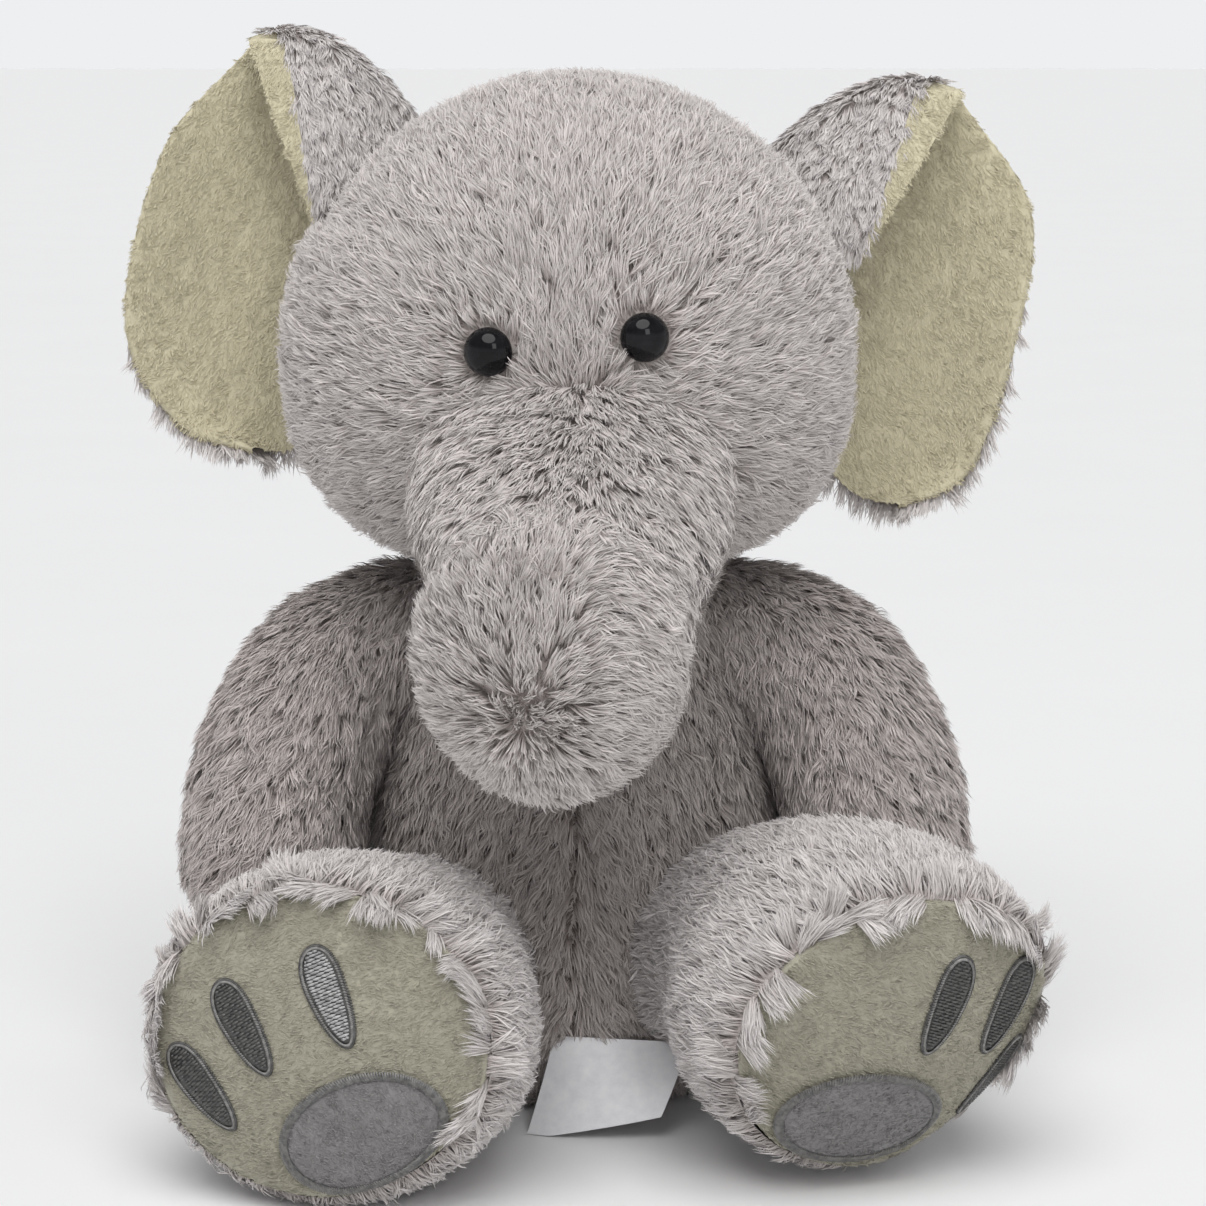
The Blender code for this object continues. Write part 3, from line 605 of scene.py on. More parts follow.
def smoothstep(values, low, high):
    t = np.clip((values - low) / (high - low), 0, 1)
    return t * t * (3 - 2 * t)


def tip_share(points):
    """1 on the trunk's rounded tip and 0 above it."""
    return smoothstep(-points[:, 1] - 0.55 * (points[:, 2] - 125), 84, 94)


def trunk_comb(points):
    """Down and sideways along the trunk; on the tip, away from a whirl and across to the right."""
    right = smoothstep(points[:, 0], -6, 12)[:, None]
    tip = unit(points - WHIRL) * (1 - right) + np.array([0.8, -0.1, -0.5]) * right
    sideways = np.clip((points[:, 0] - 3) / 20, -0.9, 1.3)
    down = np.stack([sideways, np.full_like(sideways, -0.6), -0.9 + 0.5 * np.abs(sideways)], axis=1)
    share = tip_share(points)[:, None]
    return tip * share + unit(down) * (1 - share)


def trunk_lift(points):
    """The whirl stands up; the smooth right half of the tip and the trunk's root lie flatter."""
    from_whirl = np.linalg.norm(points - WHIRL, axis=1)
    flat = 1 - 0.25 * tip_share(points) * smoothstep(points[:, 0], -2, 8)
    root = 0.3 * smoothstep(points[:, 1], -96, -72)
    return flat * (1 - root + 0.5 * smoothstep(-from_whirl, -22, -8))


def make_head():
    head = head_surface()
    skin = soft_piece("plush_head", head, ("head_skin_left", "head_skin_right", "head_stuffing"))
    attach(skin, "head")
    trunk = trunk_surface()
    trunk_skin = soft_piece("plush_trunk", trunk, ("trunk_skin", "trunk_stuffing"))

    def showing(points):
        return (near_eyes(points) > -0.4) & ~inside_trunk_root(points) & (points[:, 2] > 138)

    def eye_length(points):
        return np.clip(0.6 + near_eyes(points) / 14, 0.6, 1)

    def brow_lift(points):
        return 1 - 0.2 * smoothstep(-np.linalg.norm(points - BROW, axis=1), -30, -12)

    def brow_smooth(points):
        return 1 - 0.45 * smoothstep(points[:, 2], 205, 225) * (points[:, 1] < 0)

    ride_all(
        grow_fur(
            "fur_head", head, head_comb, 11, keep=showing, length_at=eye_length, lift_at=brow_lift, lift=0.5,
            clumping_at=brow_smooth,
        ),
        "head",
    )
    fur = grow_fur(
        "fur_trunk", trunk, trunk_comb, 13, density=3.8, length=8.5, lift=0.6, clump_gap=1.8,
        keep=outside_head, lift_at=trunk_lift,
    )
    blend_all([trunk_skin, *fur])


def inside_trunk_root(points):
    axis_start, axis_end = np.array(TRUNK_SPINE[0]), np.array(TRUNK_SPINE[2])
    along = axis_end - axis_start
    t = np.clip(((points - axis_start) @ along) / along.dot(along), 0, 1)[:, None]
    return np.linalg.norm(points - axis_start - along * t, axis=1) < 23.5


def make_eyes():
    """Glossy domes with a fine rim and a shank that runs into the head."""
    for side in SIDES:
        origin, axis = eye_place(side)
        across = unit(np.cross(axis, (0, 0, 1)))
        up = np.cross(across, axis)
        profile = [(1.5, -9.2), (1.5, 0.5), (EYE_RADIUS - 0.5, 0.5), (EYE_RADIUS, 0.9), (EYE_RADIUS, 1.4)]
        for step in range(1, 15):
            angle = pi / 2 * step / 15
            profile.append((EYE_RADIUS * cos(angle), 1.4 + 4.9 * sin(angle)))
        angles = np.linspace(0, 2 * pi, 40, endpoint=False)[:, None]
        circle = across * np.cos(angles) + up * np.sin(angles)
        rings = np.array([origin + axis * height + radius * circle for radius, height in profile])
        surface = rings_surface(rings, rings.mean(axis=(0, 1)), rings[0].mean(axis=0), origin + axis * 6.3)
        eye = plain_piece(f"eye_dome_{side}", surface, EYE, f"eye_{side}")
        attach(eye, "head")


# Torso, arms and tail

TORSO_KEYS = (  # height, half width, half depth, centre y
    (0.6, 24, 22, 2), (1.5, 38, 34, 2.3), (10, 48, 44.5, 3), (32, 53, 48.5, 3),
    (65, 54, 45.5, 2.3), (95, 47, 40, 0.5), (118, 38, 35, -2),
    (140, 30, 29, -3), (158, 22, 22, -4),
)
ARM_SPINE = (
    (24, -2, 118), (45, -4, 115.5), (62, -9, 106),
    (73, -19.5, 87), (77, -28.5, 65), (77, -33, 45),
)
ARM_ROUND = 0.8
ARM_RADIUS = (15, 17.5, 20, 20.5, 20, 19)
TAIL_SPINE = (
    (0, 49, 50), (0, 57, 46), (0, 62.5, 38), (0, 64, 28), (0, 64, 17),
)
TAIL_ROUND = 0.9
TAIL_RADIUS = (3, 3.2, 3.2, 3.4, 3.4)


def torso_surface():
    rows = smooth_values(TORSO_KEYS, np.linspace(0, 1, 44))
    turn = np.linspace(0, 2 * pi, 72, endpoint=False)
    rings = []
    for height, width, depth, centre in rows:
        groove = 1 - 0.035 * np.exp(-((np.sin(turn) / 0.06) ** 2)) * (np.cos(turn) > 0)
        x = width * np.sin(turn) * groove
        y = centre - depth * np.cos(turn) * groove
        rings.append(np.stack([x, y, np.full_like(x, height)], axis=1))
    rings = np.array(rings)
    return rings_surface(rings, np.array([0, 0, 70]), rings[0].mean(axis=0), rings[-1].mean(axis=0))


def inside_torso(points, grow):
    keys = np.array(TORSO_KEYS)
    width = np.interp(points[:, 2], keys[:, 0], keys[:, 1]) + grow
    depth = np.interp(points[:, 2], keys[:, 0], keys[:, 2]) + grow
    centre = np.interp(points[:, 2], keys[:, 0], keys[:, 3])
    return (points[:, 0] / width) ** 2 + ((points[:, 1] - centre) / depth) ** 2 < 1


def outside_torso(points):
    return ~inside_torso(points, -1)


def torso_comb(points):
    """Down, away from the front seam, and outward round the seat."""
    side = np.sign(points[:, 0]) * np.exp(-np.abs(points[:, 0]) / 12) * (points[:, 1] < 0)
    low = np.clip((12 - points[:, 2:]) / 12, 0, 1)
    out = unit(points * (1, 1, 0)) * low
    return np.array([0, 0, -1]) * (1 - low) + out + side[:, None] * (0.7, 0, 0)


def make_torso():
    torso = torso_surface()
    skin = soft_piece("plush_torso", torso, ("torso_skin_left", "torso_skin_right", "torso_stuffing"))
    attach(skin, "torso")

    def showing(points):
        return (points[:, 2] > 2) & ~inside_head(points, -2)

    # The torso's darker fur is painted shade under the head.
    fur = grow_fur(
        "fur_torso", torso, torso_comb, 21, length=9, lift=0.5, keep=showing, material=FUR_PAINTED_SHADE
    )
    ride_all(fur, "torso")


def make_arms():
    for side, sign in SIDES.items():
        spine = [(sign * x, y, z) for x, y, z in ARM_SPINE]
        positions = rounded_positions(30, 12, ARM_ROUND)
        rings = tube_rings(spine, ARM_RADIUS, ARM_RADIUS, positions, 40, ARM_ROUND)
        surface = rings_surface(rings, rings.mean(axis=(0, 1)), end_point=spine[-1])
        skin = soft_piece(f"plush_arm_{side}", surface, (f"arm_skin_{side}", f"arm_stuffing_{side}"))
        paw = np.array(spine[-1])

        def comb(points, sign=sign, paw=paw):
            """Down the arm, and away from a point above the paw's end."""
            near = np.clip((points[:, 2:3] - 62) / 20, 0, 1)
            along = np.array([sign * 0.35, -0.25, -0.9])
            return along * near + unit(points - paw + (0, 0, -14)) * (1 - near) + along * 0.6

        fur = grow_fur(
            f"fur_arm_{side}", surface, comb, 30 + SIDE_SEED[side], length=9, keep=outside_torso,
            material=FUR_ARM,
        )
        blend_all([skin, *fur])


def make_tail():
    positions = rounded_positions(16, 6, TAIL_ROUND)
    rings = tube_rings(TAIL_SPINE, TAIL_RADIUS, TAIL_RADIUS, positions, 20, TAIL_ROUND)
    surface = rings_surface(rings, rings.mean(axis=(0, 1)), end_point=TAIL_SPINE[-1])
    skin = soft_piece("plush_tail", surface, ("tail",))
    fur = grow_fur(
        "fur_tail", surface, one_way([0, 0.12, -1]), 41, density=3, length=6, lift=0.35,
        keep=outside_torso, length_at=lambda p: np.clip((45 - p[:, 2]) / 14, 0.7, 1.9),
    )
    blend_all([skin, *fur])


# Legs and soles

LEGS = {  # root, sole centre, turn outward in degrees
    "left": ((-33, -26, 37), (-58, -107, 40), 12),
    "right": ((33, -26, 36.5), (75, -98, 39.5), 21),
}
SOLE_PITCH = {"left": 7, "right": -15}  # how far each sole faces up
FLAT_EDGE = {  # each sole's flattened side: its direction (across, up), its start and how much stays beyond
    "left": (-0.6, -0.8, 30, 0.8),
    "right": (0.8, -0.6, 20, 0.6),
}
FLAT_EDGE_DEPTH = 45  # behind the sole the leg is round again
LEG_HALF_WIDTH = (24, 29, 37, 43, 40.8)
LEG_HALF_HEIGHT = (24, 29, 34.5, 38, 35.8)
SOLE_HALF_WIDTH = 39.5
SOLE_HALF_HEIGHT = 35.2
SOLE_DOME = 8
HEELS = {"left": (-12.5, -19, -24), "right": (-10, -17.5, -4)}  # across, up, tilt
HEEL_HALF_WIDTH = 18.8
HEEL_HALF_HEIGHT = 12.4
HEEL_STITCHES = 190  # round its border
TOES = {  # across, up, lean; across points away from the other foot
    "left": {"inner": (-4.5, 12.5, 26), "middle": (16, 4, 34), "outer": (26.5, -11, 42)},
    "right": {"inner": (7.5, 11.5, 22), "middle": (25, 8, 27), "outer": (28.5, -15, 32)},
}
TOE_LENGTH = 23
TOE_WIDTH = 9.6
TOE_ROW = 0.72  # between rows of its fill stitches
TOE_STITCH = 2.1
EDGE_STITCHES = 120
STITCH_POINTS = 5  # along each stitch


class Sole:
    """The sole's own frame: across points away from the other foot, up towards the toes."""

    def __init__(self, side):
        _, centre, turn = LEGS[side]
        sign = SIDES[side]
        yaw, pitch = radians(turn), radians(SOLE_PITCH[side])
        self.flat_edge = FLAT_EDGE[side]
        level = cos(pitch)
        self.normal = np.array([sign * sin(yaw) * level, -cos(yaw) * level, sin(pitch)])
        self.across = unit(np.cross((0, 0, 1), self.normal))
        self.across *= copysign(1, self.across[0] * sign)
        self.up = np.cross(self.normal, self.across)
        self.up *= copysign(1, self.up[2])
        self.centre = np.array(centre)

    def height(self, flat):
        x, y = flat[..., 0] / SOLE_HALF_WIDTH, flat[..., 1] / SOLE_HALF_HEIGHT
        return SOLE_DOME * np.clip(1 - x**2 - y**2, -0.5, 1)

    def place(self, flat, lift):
        """Points lift above the sole's dome, from flat coordinates."""
        flat = np.asarray(flat, float)
        level = (self.height(flat) + lift)[..., None]
        points = self.centre + flat[..., :1] * self.across + flat[..., 1:2] * self.up + level * self.normal
        return self.flatten(points)

    def flatten(self, points):
        """Presses the flattened side inward, less and less behind the sole."""
        across, up, start, kept = self.flat_edge
        direction = self.across * across + self.up * up
        offset = points - self.centre
        beyond = np.maximum(offset @ direction - start, 0)
        near = smoothstep(offset @ self.normal, -FLAT_EDGE_DEPTH, 0)
        return points - direction * ((1 - kept) * beyond * near)[..., None]


def oval(half_width, half_height, count, tilt=0, centre=(0, 0)):
    angle = np.linspace(0, 2 * pi, count, endpoint=False)
    lean = radians(tilt)
    a, b = half_width * np.cos(angle), half_height * np.sin(angle)
    x = centre[0] + a * cos(lean) - b * sin(lean)
    y = centre[1] + a * sin(lean) + b * cos(lean)
    return np.stack([x, y], axis=1)


def toe_half_width(place):
    """Half the toe's width at a place from -1, its narrow low end, to 1, its round high end."""
    return TOE_WIDTH / 2 * np.sqrt(np.clip(1 - np.abs(place) ** 2.6, 0, 1)) * (0.80 + 0.22 * place)


def toe_shape(across, up, lean, grow, count, scale=1):
    """A toe's outline, wide at its high end, moved outward by grow."""
    angle = np.linspace(0, 2 * pi, count, endpoint=False)
    turn = radians(lean)
    place = np.cos(angle) * (1 + 0.06 * np.sin(angle) ** 2)
    along = (TOE_LENGTH / 2 * place + grow * np.cos(angle)) * scale
    wide = (toe_half_width(place) + grow * np.abs(np.sin(angle))) * np.sign(np.sin(angle)) * scale
    x = across + along * sin(turn) + wide * cos(turn)
    y = up + along * cos(turn) - wide * sin(turn)
    return np.stack([x, y], axis=1)


def patch_surface(sole, outline_at, scales, middle, lift, edge_drop):
    """A low padded patch: nested outlines over the dome, rolled down at the rim."""
    rings = [sole.place(outline_at(scale), lift) for scale in scales]
    rings.append(sole.place(outline_at(scales[-1] * 1.012), lift - edge_drop))
    rings = np.array(rings)
    top = sole.place(np.array(middle), lift)
    return rings_surface(rings, top - sole.normal * 20, start_point=top)


def stitch(start, end, normal, width, height):
    """One raised thread between two points, as a low arch with a rounded section."""
    t = np.linspace(0, 1, STITCH_POINTS)[:, None]
    line = start * (1 - t) + end * t + normal * height * np.sin(pi * (0.12 + 0.76 * t))
    along = unit(end - start)
    side = np.cross(along, normal)
    taper = 0.55 + 0.45 * np.sin(pi * t)
    edge = side * width / 2 * taper
    rows = [line - edge, line + normal * width * 0.42 * taper, line + edge]
    return np.stack(rows, axis=1).reshape(-1, 3)


def stitches_object(name, threads, material):
    faces = []
    for index in range(len(threads)):
        for step in range(STITCH_POINTS - 1):
            for column in range(2):
                corner = (index * STITCH_POINTS + step) * 3 + column
                faces.append((corner, corner + 1, corner + 4, corner + 3))
    return mesh_object(name, np.concatenate(threads), faces, material)


def outline_threads(sole, outline_in, outline_out, lift, height, width, slant):
    """Satin stitches from an inner to an outer outline, which they reach some stitches further on."""
    inner, outer = sole.place(outline_in, lift), sole.place(outline_out, lift - 0.25)
    return [stitch(a, b, sole.normal, width, height) for a, b in zip(inner, np.roll(outer, slant, axis=0))]


def toe_threads(sole, toe, lift):
    """Fill stitches across the toe, in rows laid like bricks."""
    across, up, lean = toe
    turn = radians(lean)
    along = np.array([sin(turn), cos(turn)])
    wide = np.array([cos(turn), -sin(turn)])
    threads = []
    rows = int(TOE_LENGTH / TOE_ROW)
    for row in range(1, rows):
        place = 1 - 2 * row / rows
        half = toe_half_width(place) - 0.7
        if half < 0.5:
            continue
        middle = np.array([across, up]) + along * TOE_LENGTH / 2 * place
        first_cut = -TOE_WIDTH + (row % 2) * TOE_STITCH / 2
        inner_cuts = [cut for cut in np.arange(first_cut, half, TOE_STITCH) if abs(cut) < half - 0.4]
        cuts = [-half, *inner_cuts, half]
        for first, second in zip(cuts, cuts[1:]):
            a = sole.place(middle + wide * first, lift)
            b = sole.place(middle + wide * second + along * 0.2, lift)
            threads.append(stitch(a, b, sole.normal, TOE_ROW * 0.86, 0.5))
    return threads


def toe_edge(sole, toe, lift, inside, outside):
    """A satin ring between two distances out from a toe's outline."""
    across, up, lean = toe
    inner, outer = (toe_shape(across, up, lean, grow, EDGE_STITCHES) for grow in (inside, outside))
    return outline_threads(sole, inner, outer, lift, 0.45, 0.5, 1)


RIM_BAND = ((0, -0.6), (1, 0.4), (2.2, 1), (3.4, 1.3))  # distance back from the rim, and out from it


def outward_ring(sole, grow):
    """The sole's rim, grown outward, as offsets from its centre."""
    rim = oval(SOLE_HALF_WIDTH + grow, SOLE_HALF_HEIGHT + grow, 90)
    return rim[:, :1] * sole.across + rim[:, 1:] * sole.up


def make_leg(side):
    sole = Sole(side)
    sign = SIDES[side]
    body = f"leg_{side}"
    root = np.array(LEGS[side][0])
    rim = sole.centre + sole.normal * 0.4
    control = rim - sole.normal * np.linalg.norm(rim - root) * 0.5
    spine = [(1 - t) ** 2 * root + 2 * t * (1 - t) * control + t**2 * rim for t in (0, 0.25, 0.5, 0.75, 1)]
    positions = np.linspace(0, 1, 34)
    rings = tube_rings(spine, LEG_HALF_WIDTH, LEG_HALF_HEIGHT, positions, 60, end_normal=sole.normal)
    rings = sole.flatten(rings)
    surface = rings_surface(rings, rings.mean(axis=(0, 1)))
    skin = soft_piece(f"plush_leg_{side}", surface, (f"leg_skin_{side}", f"leg_stuffing_{side}"))
    middle = sole.centre

    def from_rim(points):
        return -(points - middle) @ sole.normal

    def outward(points):
        out = points - middle
        return unit(out - sole.normal * (out @ sole.normal)[:, None])

    def comb(points):
        return outward(points) * 0.5 - sole.normal + np.array([0, 0, -0.25])

    def fringe_comb(points):
        """Locks that fall over the sole's edge, parted by others that fall outward."""
        out = outward(points)
        around = np.arctan2(out @ sole.up, out @ sole.across)
        lock = np.sin(7 * around + 1.3) + 0.8 * np.sin(17 * around)
        inward = smoothstep(lock, -1.3, 0.1)[:, None]
        swirl = np.cross(sole.normal, out) * 0.45 * np.sin(5 * around)[:, None]
        return swirl + out * (1 - 1.9 * inward)

    band = [middle + sole.normal * (0.8 - back) + outward_ring(sole, grow) for back, grow in RIM_BAND]
    rim_band = rings_surface(sole.flatten(np.array(band)), middle - sole.normal * 30)
    rim_band.normals = unit(outward(rim_band.points) + sole.normal * 0.9)
    fringe = grow_fur(
        f"fringe_leg_{side}", rim_band, fringe_comb, 54 + SIDE_SEED[side], density=8.5, length=11,
        clump_gap=2.8, clumping=0.42, width=0.26, ragged=0.5, material=FUR_LIGHT,
        keep=lambda p: (outward(p) @ sole.up > -0.5) & (p[:, 2] > LOWEST_ROOT),
    )
    fur = grow_fur(
        f"fur_leg_{side}", surface, comb, 50 + SIDE_SEED[side], density=3.4, length=10,
        keep=lambda p: outside_torso(p) & (p[:, 2] > LOWEST_ROOT),
        length_at=lambda p: np.clip(1.05 - from_rim(p) / 60, 0.85, 1.05), material=FUR_LIGHT,
    )
    blend_all([skin, *fur])
    riders = [*fringe, *make_sole(side, sole), *make_heel(side, sole)]
    for toe in TOES[side]:
        riders.extend(make_toe(side, sole, toe))
    ride_all(riders, body)


def make_sole(side, sole):
    """The cream panel, with its short nap, painted darker than the ear lining as painted shade."""

    scales = np.linspace(0.12, 1, 16)
    def outline(scale):
        return oval(SOLE_HALF_WIDTH * scale, SOLE_HALF_HEIGHT * scale, 72)

    panel = patch_surface(sole, outline, scales, (0, 0), 1.6, 2)
    cream = plain_piece(f"velboa_sole_{side}", panel, SHADED_SOLE_CLOTH, f"sole_{side}")
    nap = grow_fur(
        f"nap_sole_{side}", panel, one_way(sole.across * 0.9 - sole.up * 0.2), 60 + SIDE_SEED[side],
        length=1.3, material=SHADED_SOLE_NAP, slot="cream_sole", **NAP,
    )
    return [cream, *nap]


def make_heel(side, sole):
    """The grey heel pad, its nap and the satin border round it."""
    across, up, tilt = HEELS[side]

    def outline(grow, scale=1, count=72):
        half_width, half_height = (HEEL_HALF_WIDTH + grow) * scale, (HEEL_HALF_HEIGHT + grow) * scale
        return oval(half_width, half_height, count, tilt, (across, up))

    scales = np.linspace(0.1, 1, 10)
    heel = patch_surface(sole, lambda scale: outline(0, scale), scales, (across, up), 2.9, 1.3)
    pad = plain_piece(f"velboa_heel_{side}", heel, PAD_CLOTH, f"heel_pad_{side}")
    nap = grow_fur(
        f"nap_heel_{side}", heel, one_way(sole.up * 0.5 + sole.across * 0.6), 70 + SIDE_SEED[side],
        length=0.9, material=PAD_NAP, slot="grey_pad", **NAP,
    )
    inner_edge, outer_edge = (outline(grow, count=HEEL_STITCHES) for grow in (-0.4, 1.8))
    satin = outline_threads(sole, inner_edge, outer_edge, 2.9, 0.8, 0.62, 2)
    border = stitches_object(f"satin_border_{side}", satin, BORDER_THREAD)
    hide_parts(f"heel_border_{side}")
    return [pad, *nap, border]


def make_toe(side, sole, toe):
    """A toe's padded bed, its fill stitches, a satin edge and a darker rim."""
    place = TOES[side][toe]
    # The left foot's inner toe takes the light thread: painted highlight on its dark thread.
    thread = GLINT_THREAD if (side, toe) == ("left", "inner") else DARK_THREAD
    scales = np.linspace(0.15, 1, 7)
    base = patch_surface(sole, lambda scale: toe_shape(*place, 0.4, 48, scale), scales, place[:2], 2.3, 0.9)
    bed = mesh_object(f"toe_bed_{toe}_{side}", base.points, base.faces, DARK_THREAD)
    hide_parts(f"toe_{toe}_{side}")
    pieces = [bed]
    for part, threads, material in (
        ("stitches", toe_threads(sole, place, 2.35), thread),
        ("edge", toe_edge(sole, place, 2.4, -0.2, 0.5), EDGE_THREAD),
        ("rim", toe_edge(sole, place, 2.1, 0.4, 1), DARK_THREAD),
    ):
        pieces.append(stitches_object(f"toe_{part}_{toe}_{side}", threads, material))
    return pieces


# Ears

EARS = {  # the seam to the head from low to high, the front flap's end, and the free edge from low to tip
    "left": {
        "base": ((-66, 2, 169), (-64, 6, 205), (-43, 11, 245)),
        "flap_end": (-64, -10, 219),
        "edge": (
            (-83, 3, 164), (-102, 2, 171.5), (-114.5, 2, 197),
            (-104, 4, 240), (-82, 10, 267),
        ),
    },
    "right": {
        "base": ((64, 2, 160), (64, 6, 198), (50, 11, 234)),
        "flap_end": (71, -10, 213),
        "edge": (
            (83, 3, 149.5), (101, 3, 159), (112.5, 2, 195),
            (115, 4, 226), (97.5, 10, 254),
        ),
    },
}
EAR_ARCH = 7  # how far the fold's middle rises
EAR_CUP = 7
EAR_DROOP = 3.5  # how far its low end hangs below a straight line
EAR_RIPPLE = 1.6
FOLD_RADIUS = 4.6
FLAP_BULGE = 5
TURNED_EDGE = 0.78  # on the flap the lining is turned over the edge, from this share of its width
FOLD_ROWS = 12
FLAP_ROWS = 16


def ear_rows(side, across_count, flap_reach=1):
    """Rows of the ear's sheet from its low end up to the tip, round the fold and down the front flap."""
    ear = EARS[side]
    positions = np.linspace(0, 1, 40)
    leaf_base = smooth_values(ear["base"], positions)
    leaf_edge = smooth_values(ear["edge"], positions)
    flap_end = np.array(ear["flap_end"])
    across = np.linspace(0, 1, across_count)[:, None]
    forward = np.array([0, -1, 0])
    up = np.array([0, 0, 1])
    parabola = 4 * across * (1 - across)
    rows = []
    for position, base, edge in zip(positions, leaf_base, leaf_edge):
        ripple = EAR_RIPPLE * np.sin(9 * across + 3 * position) * (1 - across)
        arch = EAR_ARCH * parabola * position**3
        droop = EAR_DROOP * parabola * (1 - position) ** 6
        depth = (EAR_CUP * parabola + ripple) * (1 - position**2)
        rows.append(base * (1 - across) + edge * across - forward * depth + up * (arch - droop))
    crest = rows[-1]
    for degrees in np.linspace(0, 180, FOLD_ROWS)[1:]:
        turn = radians(degrees)
        reach = across * (1 + (flap_reach - 1) * degrees / 180)
        rise = sin(turn) * (1 - 0.6 * across**4)
        shift = FOLD_RADIUS * (forward * (1 - cos(turn)) + up * rise)
        rows.append(along_row(crest, reach) + shift)
    front = along_row(crest, across * flap_reach) + forward * 2 * FOLD_RADIUS
    for down in np.linspace(0, 0.96, FLAP_ROWS)[1:]:
        bulge = forward * FLAP_BULGE * sin(pi * down)
        rows.append(front * (1 - down) + flap_end * down + bulge)
    return np.array(rows)


def along_row(row, places):
    """The points at some shares, from 0 to 1, of a row's length."""
    shares = np.linspace(0, 1, len(row))
    return np.stack([np.interp(places[:, 0], shares, row[:, axis]) for axis in range(3)], axis=1)


def sheet_normals(rows, sign):
    """Normals that point out of the ear's furry side."""
    return unit(np.cross(np.gradient(rows, axis=0), np.gradient(rows, axis=1))) * sign


def sheet_surface(rows, sign):
    points = rows.reshape(-1, 3)
    surface = Surface(points, grid_faces(rows.shape[0], rows.shape[1], False))
    outward = sheet_normals(rows, sign).reshape(-1, 3)
    if (surface.normals * outward).sum() < 0:
        surface = Surface(points, [tuple(reversed(face)) for face in surface.faces])
    return surface


def joined(surfaces):
    """One surface from several."""
    points, faces = [], []
    for surface in surfaces:
        first = len(points)
        points.extend(surface.points.tolist())
        faces.extend(tuple(first + corner for corner in face) for face in surface.faces)
    return Surface(points, faces)


def rolled_edge(rows, normals, thickness):
    """Adds a column that rounds the sheet's free edge back by its thickness."""
    side = unit(rows[:, -1] - rows[:, -2])
    thickness = thickness[:, None]
    middle = rows[:, -1] + side * thickness * 0.5 - normals[:, -1] * thickness * 0.4
    last = rows[:, -1] - normals[:, -1] * thickness
    return np.concatenate([rows, middle[:, None], last[:, None]], axis=1)


def make_ear(side):
    sign = SIDES[side]
    body = f"ear_{side}"
    rows = ear_rows(side, 26, TURNED_EDGE)
    outer = sheet_surface(rows + sheet_normals(rows, sign) * 0.9, sign)
    hidden = sheet_surface((rows + sheet_normals(rows, sign) * 0.7)[:, :-1], sign)
    skin = plain_piece(f"plush_ear_{side}", hidden, BACKING, f"ear_outer_{side}")

    full = ear_rows(side, 30)
    inward = -sheet_normals(full, sign)
    thickness = 0.15 + 1.65 * smoothstep(-np.arange(len(full), dtype=float), -37, -30)
    inner = sheet_surface(rolled_edge(full + inward * 0.4, inward, thickness), -sign)
    flap = full[-FLAP_ROWS:, int(30 * TURNED_EDGE) - 1:]
    turned = sheet_surface(flap + sheet_normals(flap, sign) * 1.6, sign)
    lining = joined([inner, turned])
    cream = plain_piece(f"velboa_ear_{side}", lining, LINING_CLOTH, f"ear_lining_{side}")
    middle = np.array(EARS[side]["base"][1])

    def comb(points):
        """Down, and low on the ear also away from its seam."""
        low = smoothstep(-points[:, 2], -200, -170)[:, None]
        return np.array([-sign * 0.15, 0, -1]) + unit(points - middle) * low * 0.6

    fur = grow_fur(
        f"fur_ear_{side}", outer, comb, 80 + SIDE_SEED[side], density=4.4, length=8, lift=0.33,
        clump_gap=1.6, keep=outside_head, clumping=0.4, material=FUR_LIGHT,
        length_at=lambda p: 0.65 + 0.35 * smoothstep(-p[:, 2], -215, -180),
    )
    ear_nap = {**NAP, "density": 4.6, "lift": 0.28, "mess": 0.6}
    nap = grow_fur(
        f"nap_ear_{side}", lining, one_way([sign * 0.5, 0, -0.8]), 90 + SIDE_SEED[side], length=1.4,
        keep=outside_head, material=LINING_NAP, slot="cream_lining", **ear_nap,
    )
    ride_all([skin, cream, *fur, *nap], body)


# Label


LABEL_WIDTH = 34


def make_label():
    """A folded satin care label in the seam between the legs, plain."""
    columns, rows = 26, 22
    across = np.linspace(-LABEL_WIDTH / 2, LABEL_WIDTH / 2, columns)
    down = np.linspace(0, 1, rows)
    turn = radians(-9)
    points = []
    for t in down:
        for x in across:
            curl = 1.5 * sin(pi * t) - 1.2 * (x / 16) ** 2 * t
            local_x = x - 7 * t + 4
            y = -46.5 - 15 * t - curl
            z = 21.5 - (18.8 - 0.22 * x) * t**0.9
            points.append((7.5 + local_x * cos(turn), y + local_x * sin(turn), z))
    label = mesh_object("satin_label", np.array(points), grid_faces(rows, columns, False), SATIN)
    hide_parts("care_label")
    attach(label, "torso")


# Inner pieces, stage and camera


def dress_washers():
    light, dark = (0.86, 0.86, 0.87), (0.78, 0.78, 0.80)
    material = woven_material("washer_plastic", light, dark, 500, 0.45, 0, 0.05)
    for side in SIDES:
        washer = bpy.data.objects[f"eye_washer_{side}"]
        washer.data.materials.clear()
        washer.data.materials.append(material)


def add_window(place, size, power):
    """A soft rectangular light that shines at the toy."""
    light = bpy.data.lights.new("window", "AREA")
    light.shape = "RECTANGLE"
    light.size, light.size_y = size
    light.energy = power
    obj = add_object("window", light)
    obj.location = place
    direction = np.array([0, 0, 0.13]) - np.array(place)
    yaw = atan2(direction[0], -direction[1])
    pitch = atan2(hypot(direction[0], direction[1]), -direction[2])
    obj.rotation_euler = (pitch, 0, pi + yaw)


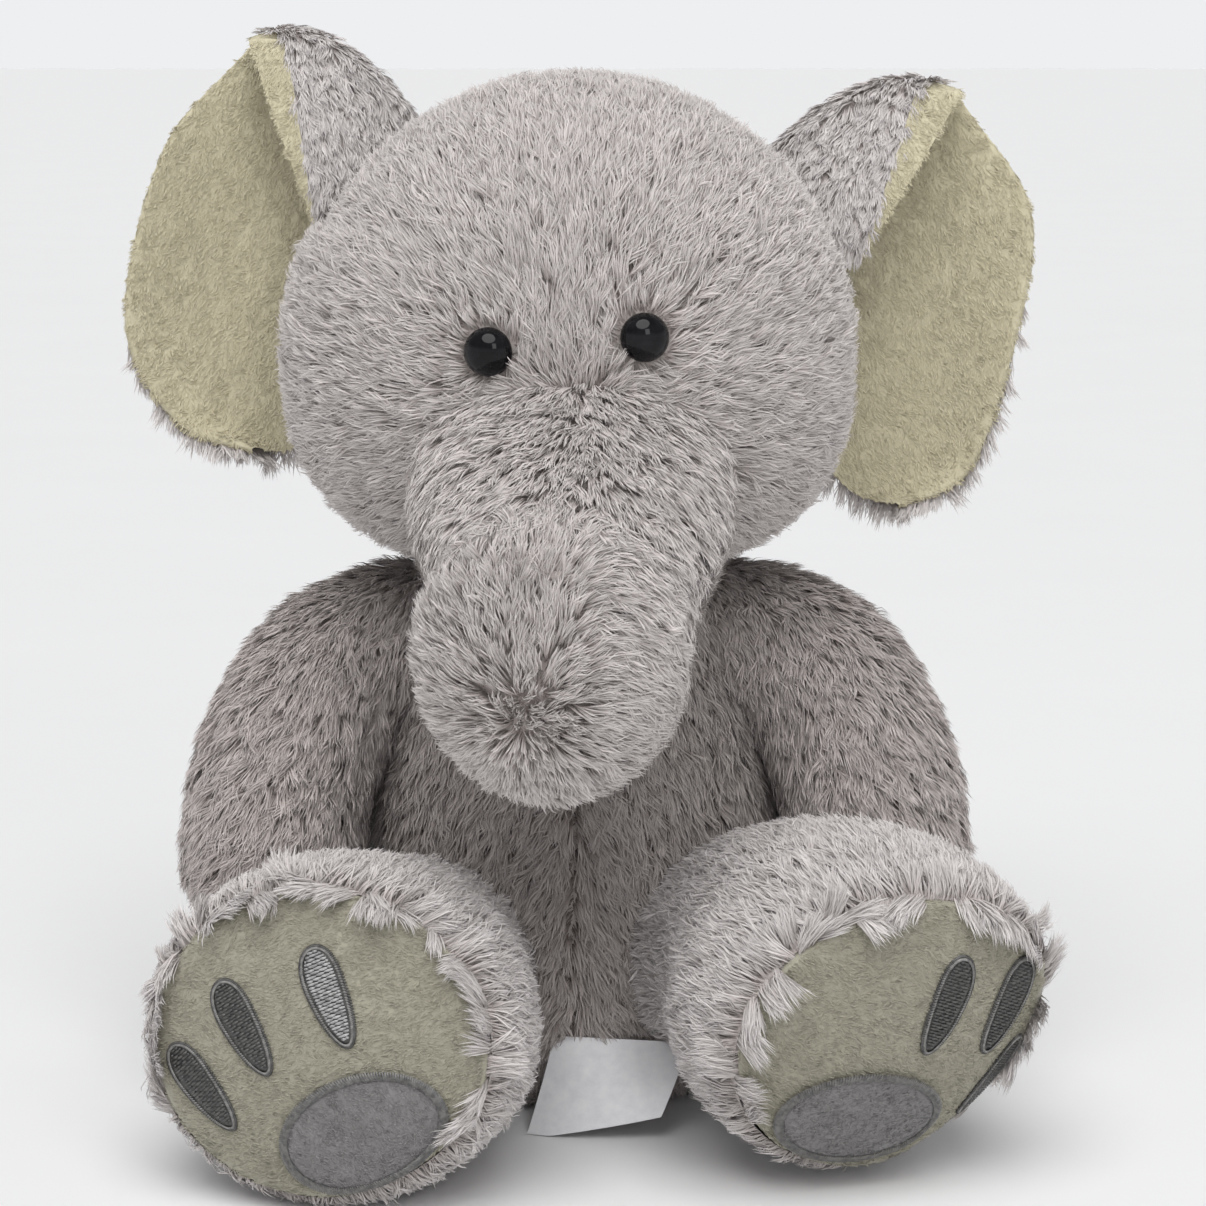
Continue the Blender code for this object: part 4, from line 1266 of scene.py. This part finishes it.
def make_floor():
    mesh = bpy.data.meshes.new("floor")
    corners = [(FLOOR_REACH * x, FLOOR_REACH * y, 0) for x, y in ((-1, -1), (1, -1), (1, 1), (-1, 1))]
    mesh.from_pydata(corners, [], [(0, 1, 2, 3)])
    material = woven_material("floor_pale", (0.88, 0.88, 0.88), (0.865, 0.865, 0.865), 6, 0.9, 0, 0.02)
    link_object("floor", mesh, material)


def make_world():
    """A bright studio near the horizon, darker overhead."""
    world = bpy.data.worlds.new("studio")
    world.use_nodes = True
    nodes, link = world.node_tree.nodes, world.node_tree.links.new
    background = nodes["Background"]
    background.inputs["Color"].default_value = (0.97, 0.98, 1, 1)
    direction = nodes.new("ShaderNodeTexCoord")
    split = nodes.new("ShaderNodeSeparateXYZ")
    fade = nodes.new("ShaderNodeMapRange")
    for socket, value in (("From Min", 0.15), ("From Max", 0.35), ("To Min", 0.88), ("To Max", 0.31)):
        fade.inputs[socket].default_value = value
    link(direction.outputs["Generated"], split.inputs["Vector"])
    link(split.outputs["Z"], fade.inputs["Value"])
    link(fade.outputs["Result"], background.inputs["Strength"])
    bpy.context.scene.world = world


def make_lights():
    sky = bpy.data.lights.new("overhead", "SUN")
    sky.energy = 2.2
    sky.angle = radians(50)
    overhead = add_object("overhead", sky)
    overhead.rotation_euler = (radians(26), radians(-3), 0)
    add_window((0.30, -0.85, 0.62), (0.28, 0.36), 1.1)
    bpy.context.scene.view_settings.view_transform = "Standard"


def make_camera():
    camera = bpy.data.cameras.new("camera")
    camera.sensor_width = SENSOR_WIDTH
    camera.lens = SENSOR_WIDTH * CAMERA_DISTANCE / FIELD_WIDTH
    camera.clip_end = 500
    obj = add_object("camera", camera)
    rise = radians(CAMERA_RISE)
    back = np.array([0, -cos(rise), sin(rise)]) * CAMERA_DISTANCE
    obj.location = to_frame(CAMERA_TARGET + back)
    obj.rotation_euler = (pi / 2 - rise, 0, 0)
    bpy.context.scene.camera = obj


make_head()
make_eyes()
make_torso()
make_arms()
make_tail()
for name in SIDES:
    make_leg(name)
    make_ear(name)
make_label()
dress_washers()
make_floor()
make_world()
make_lights()
make_camera()
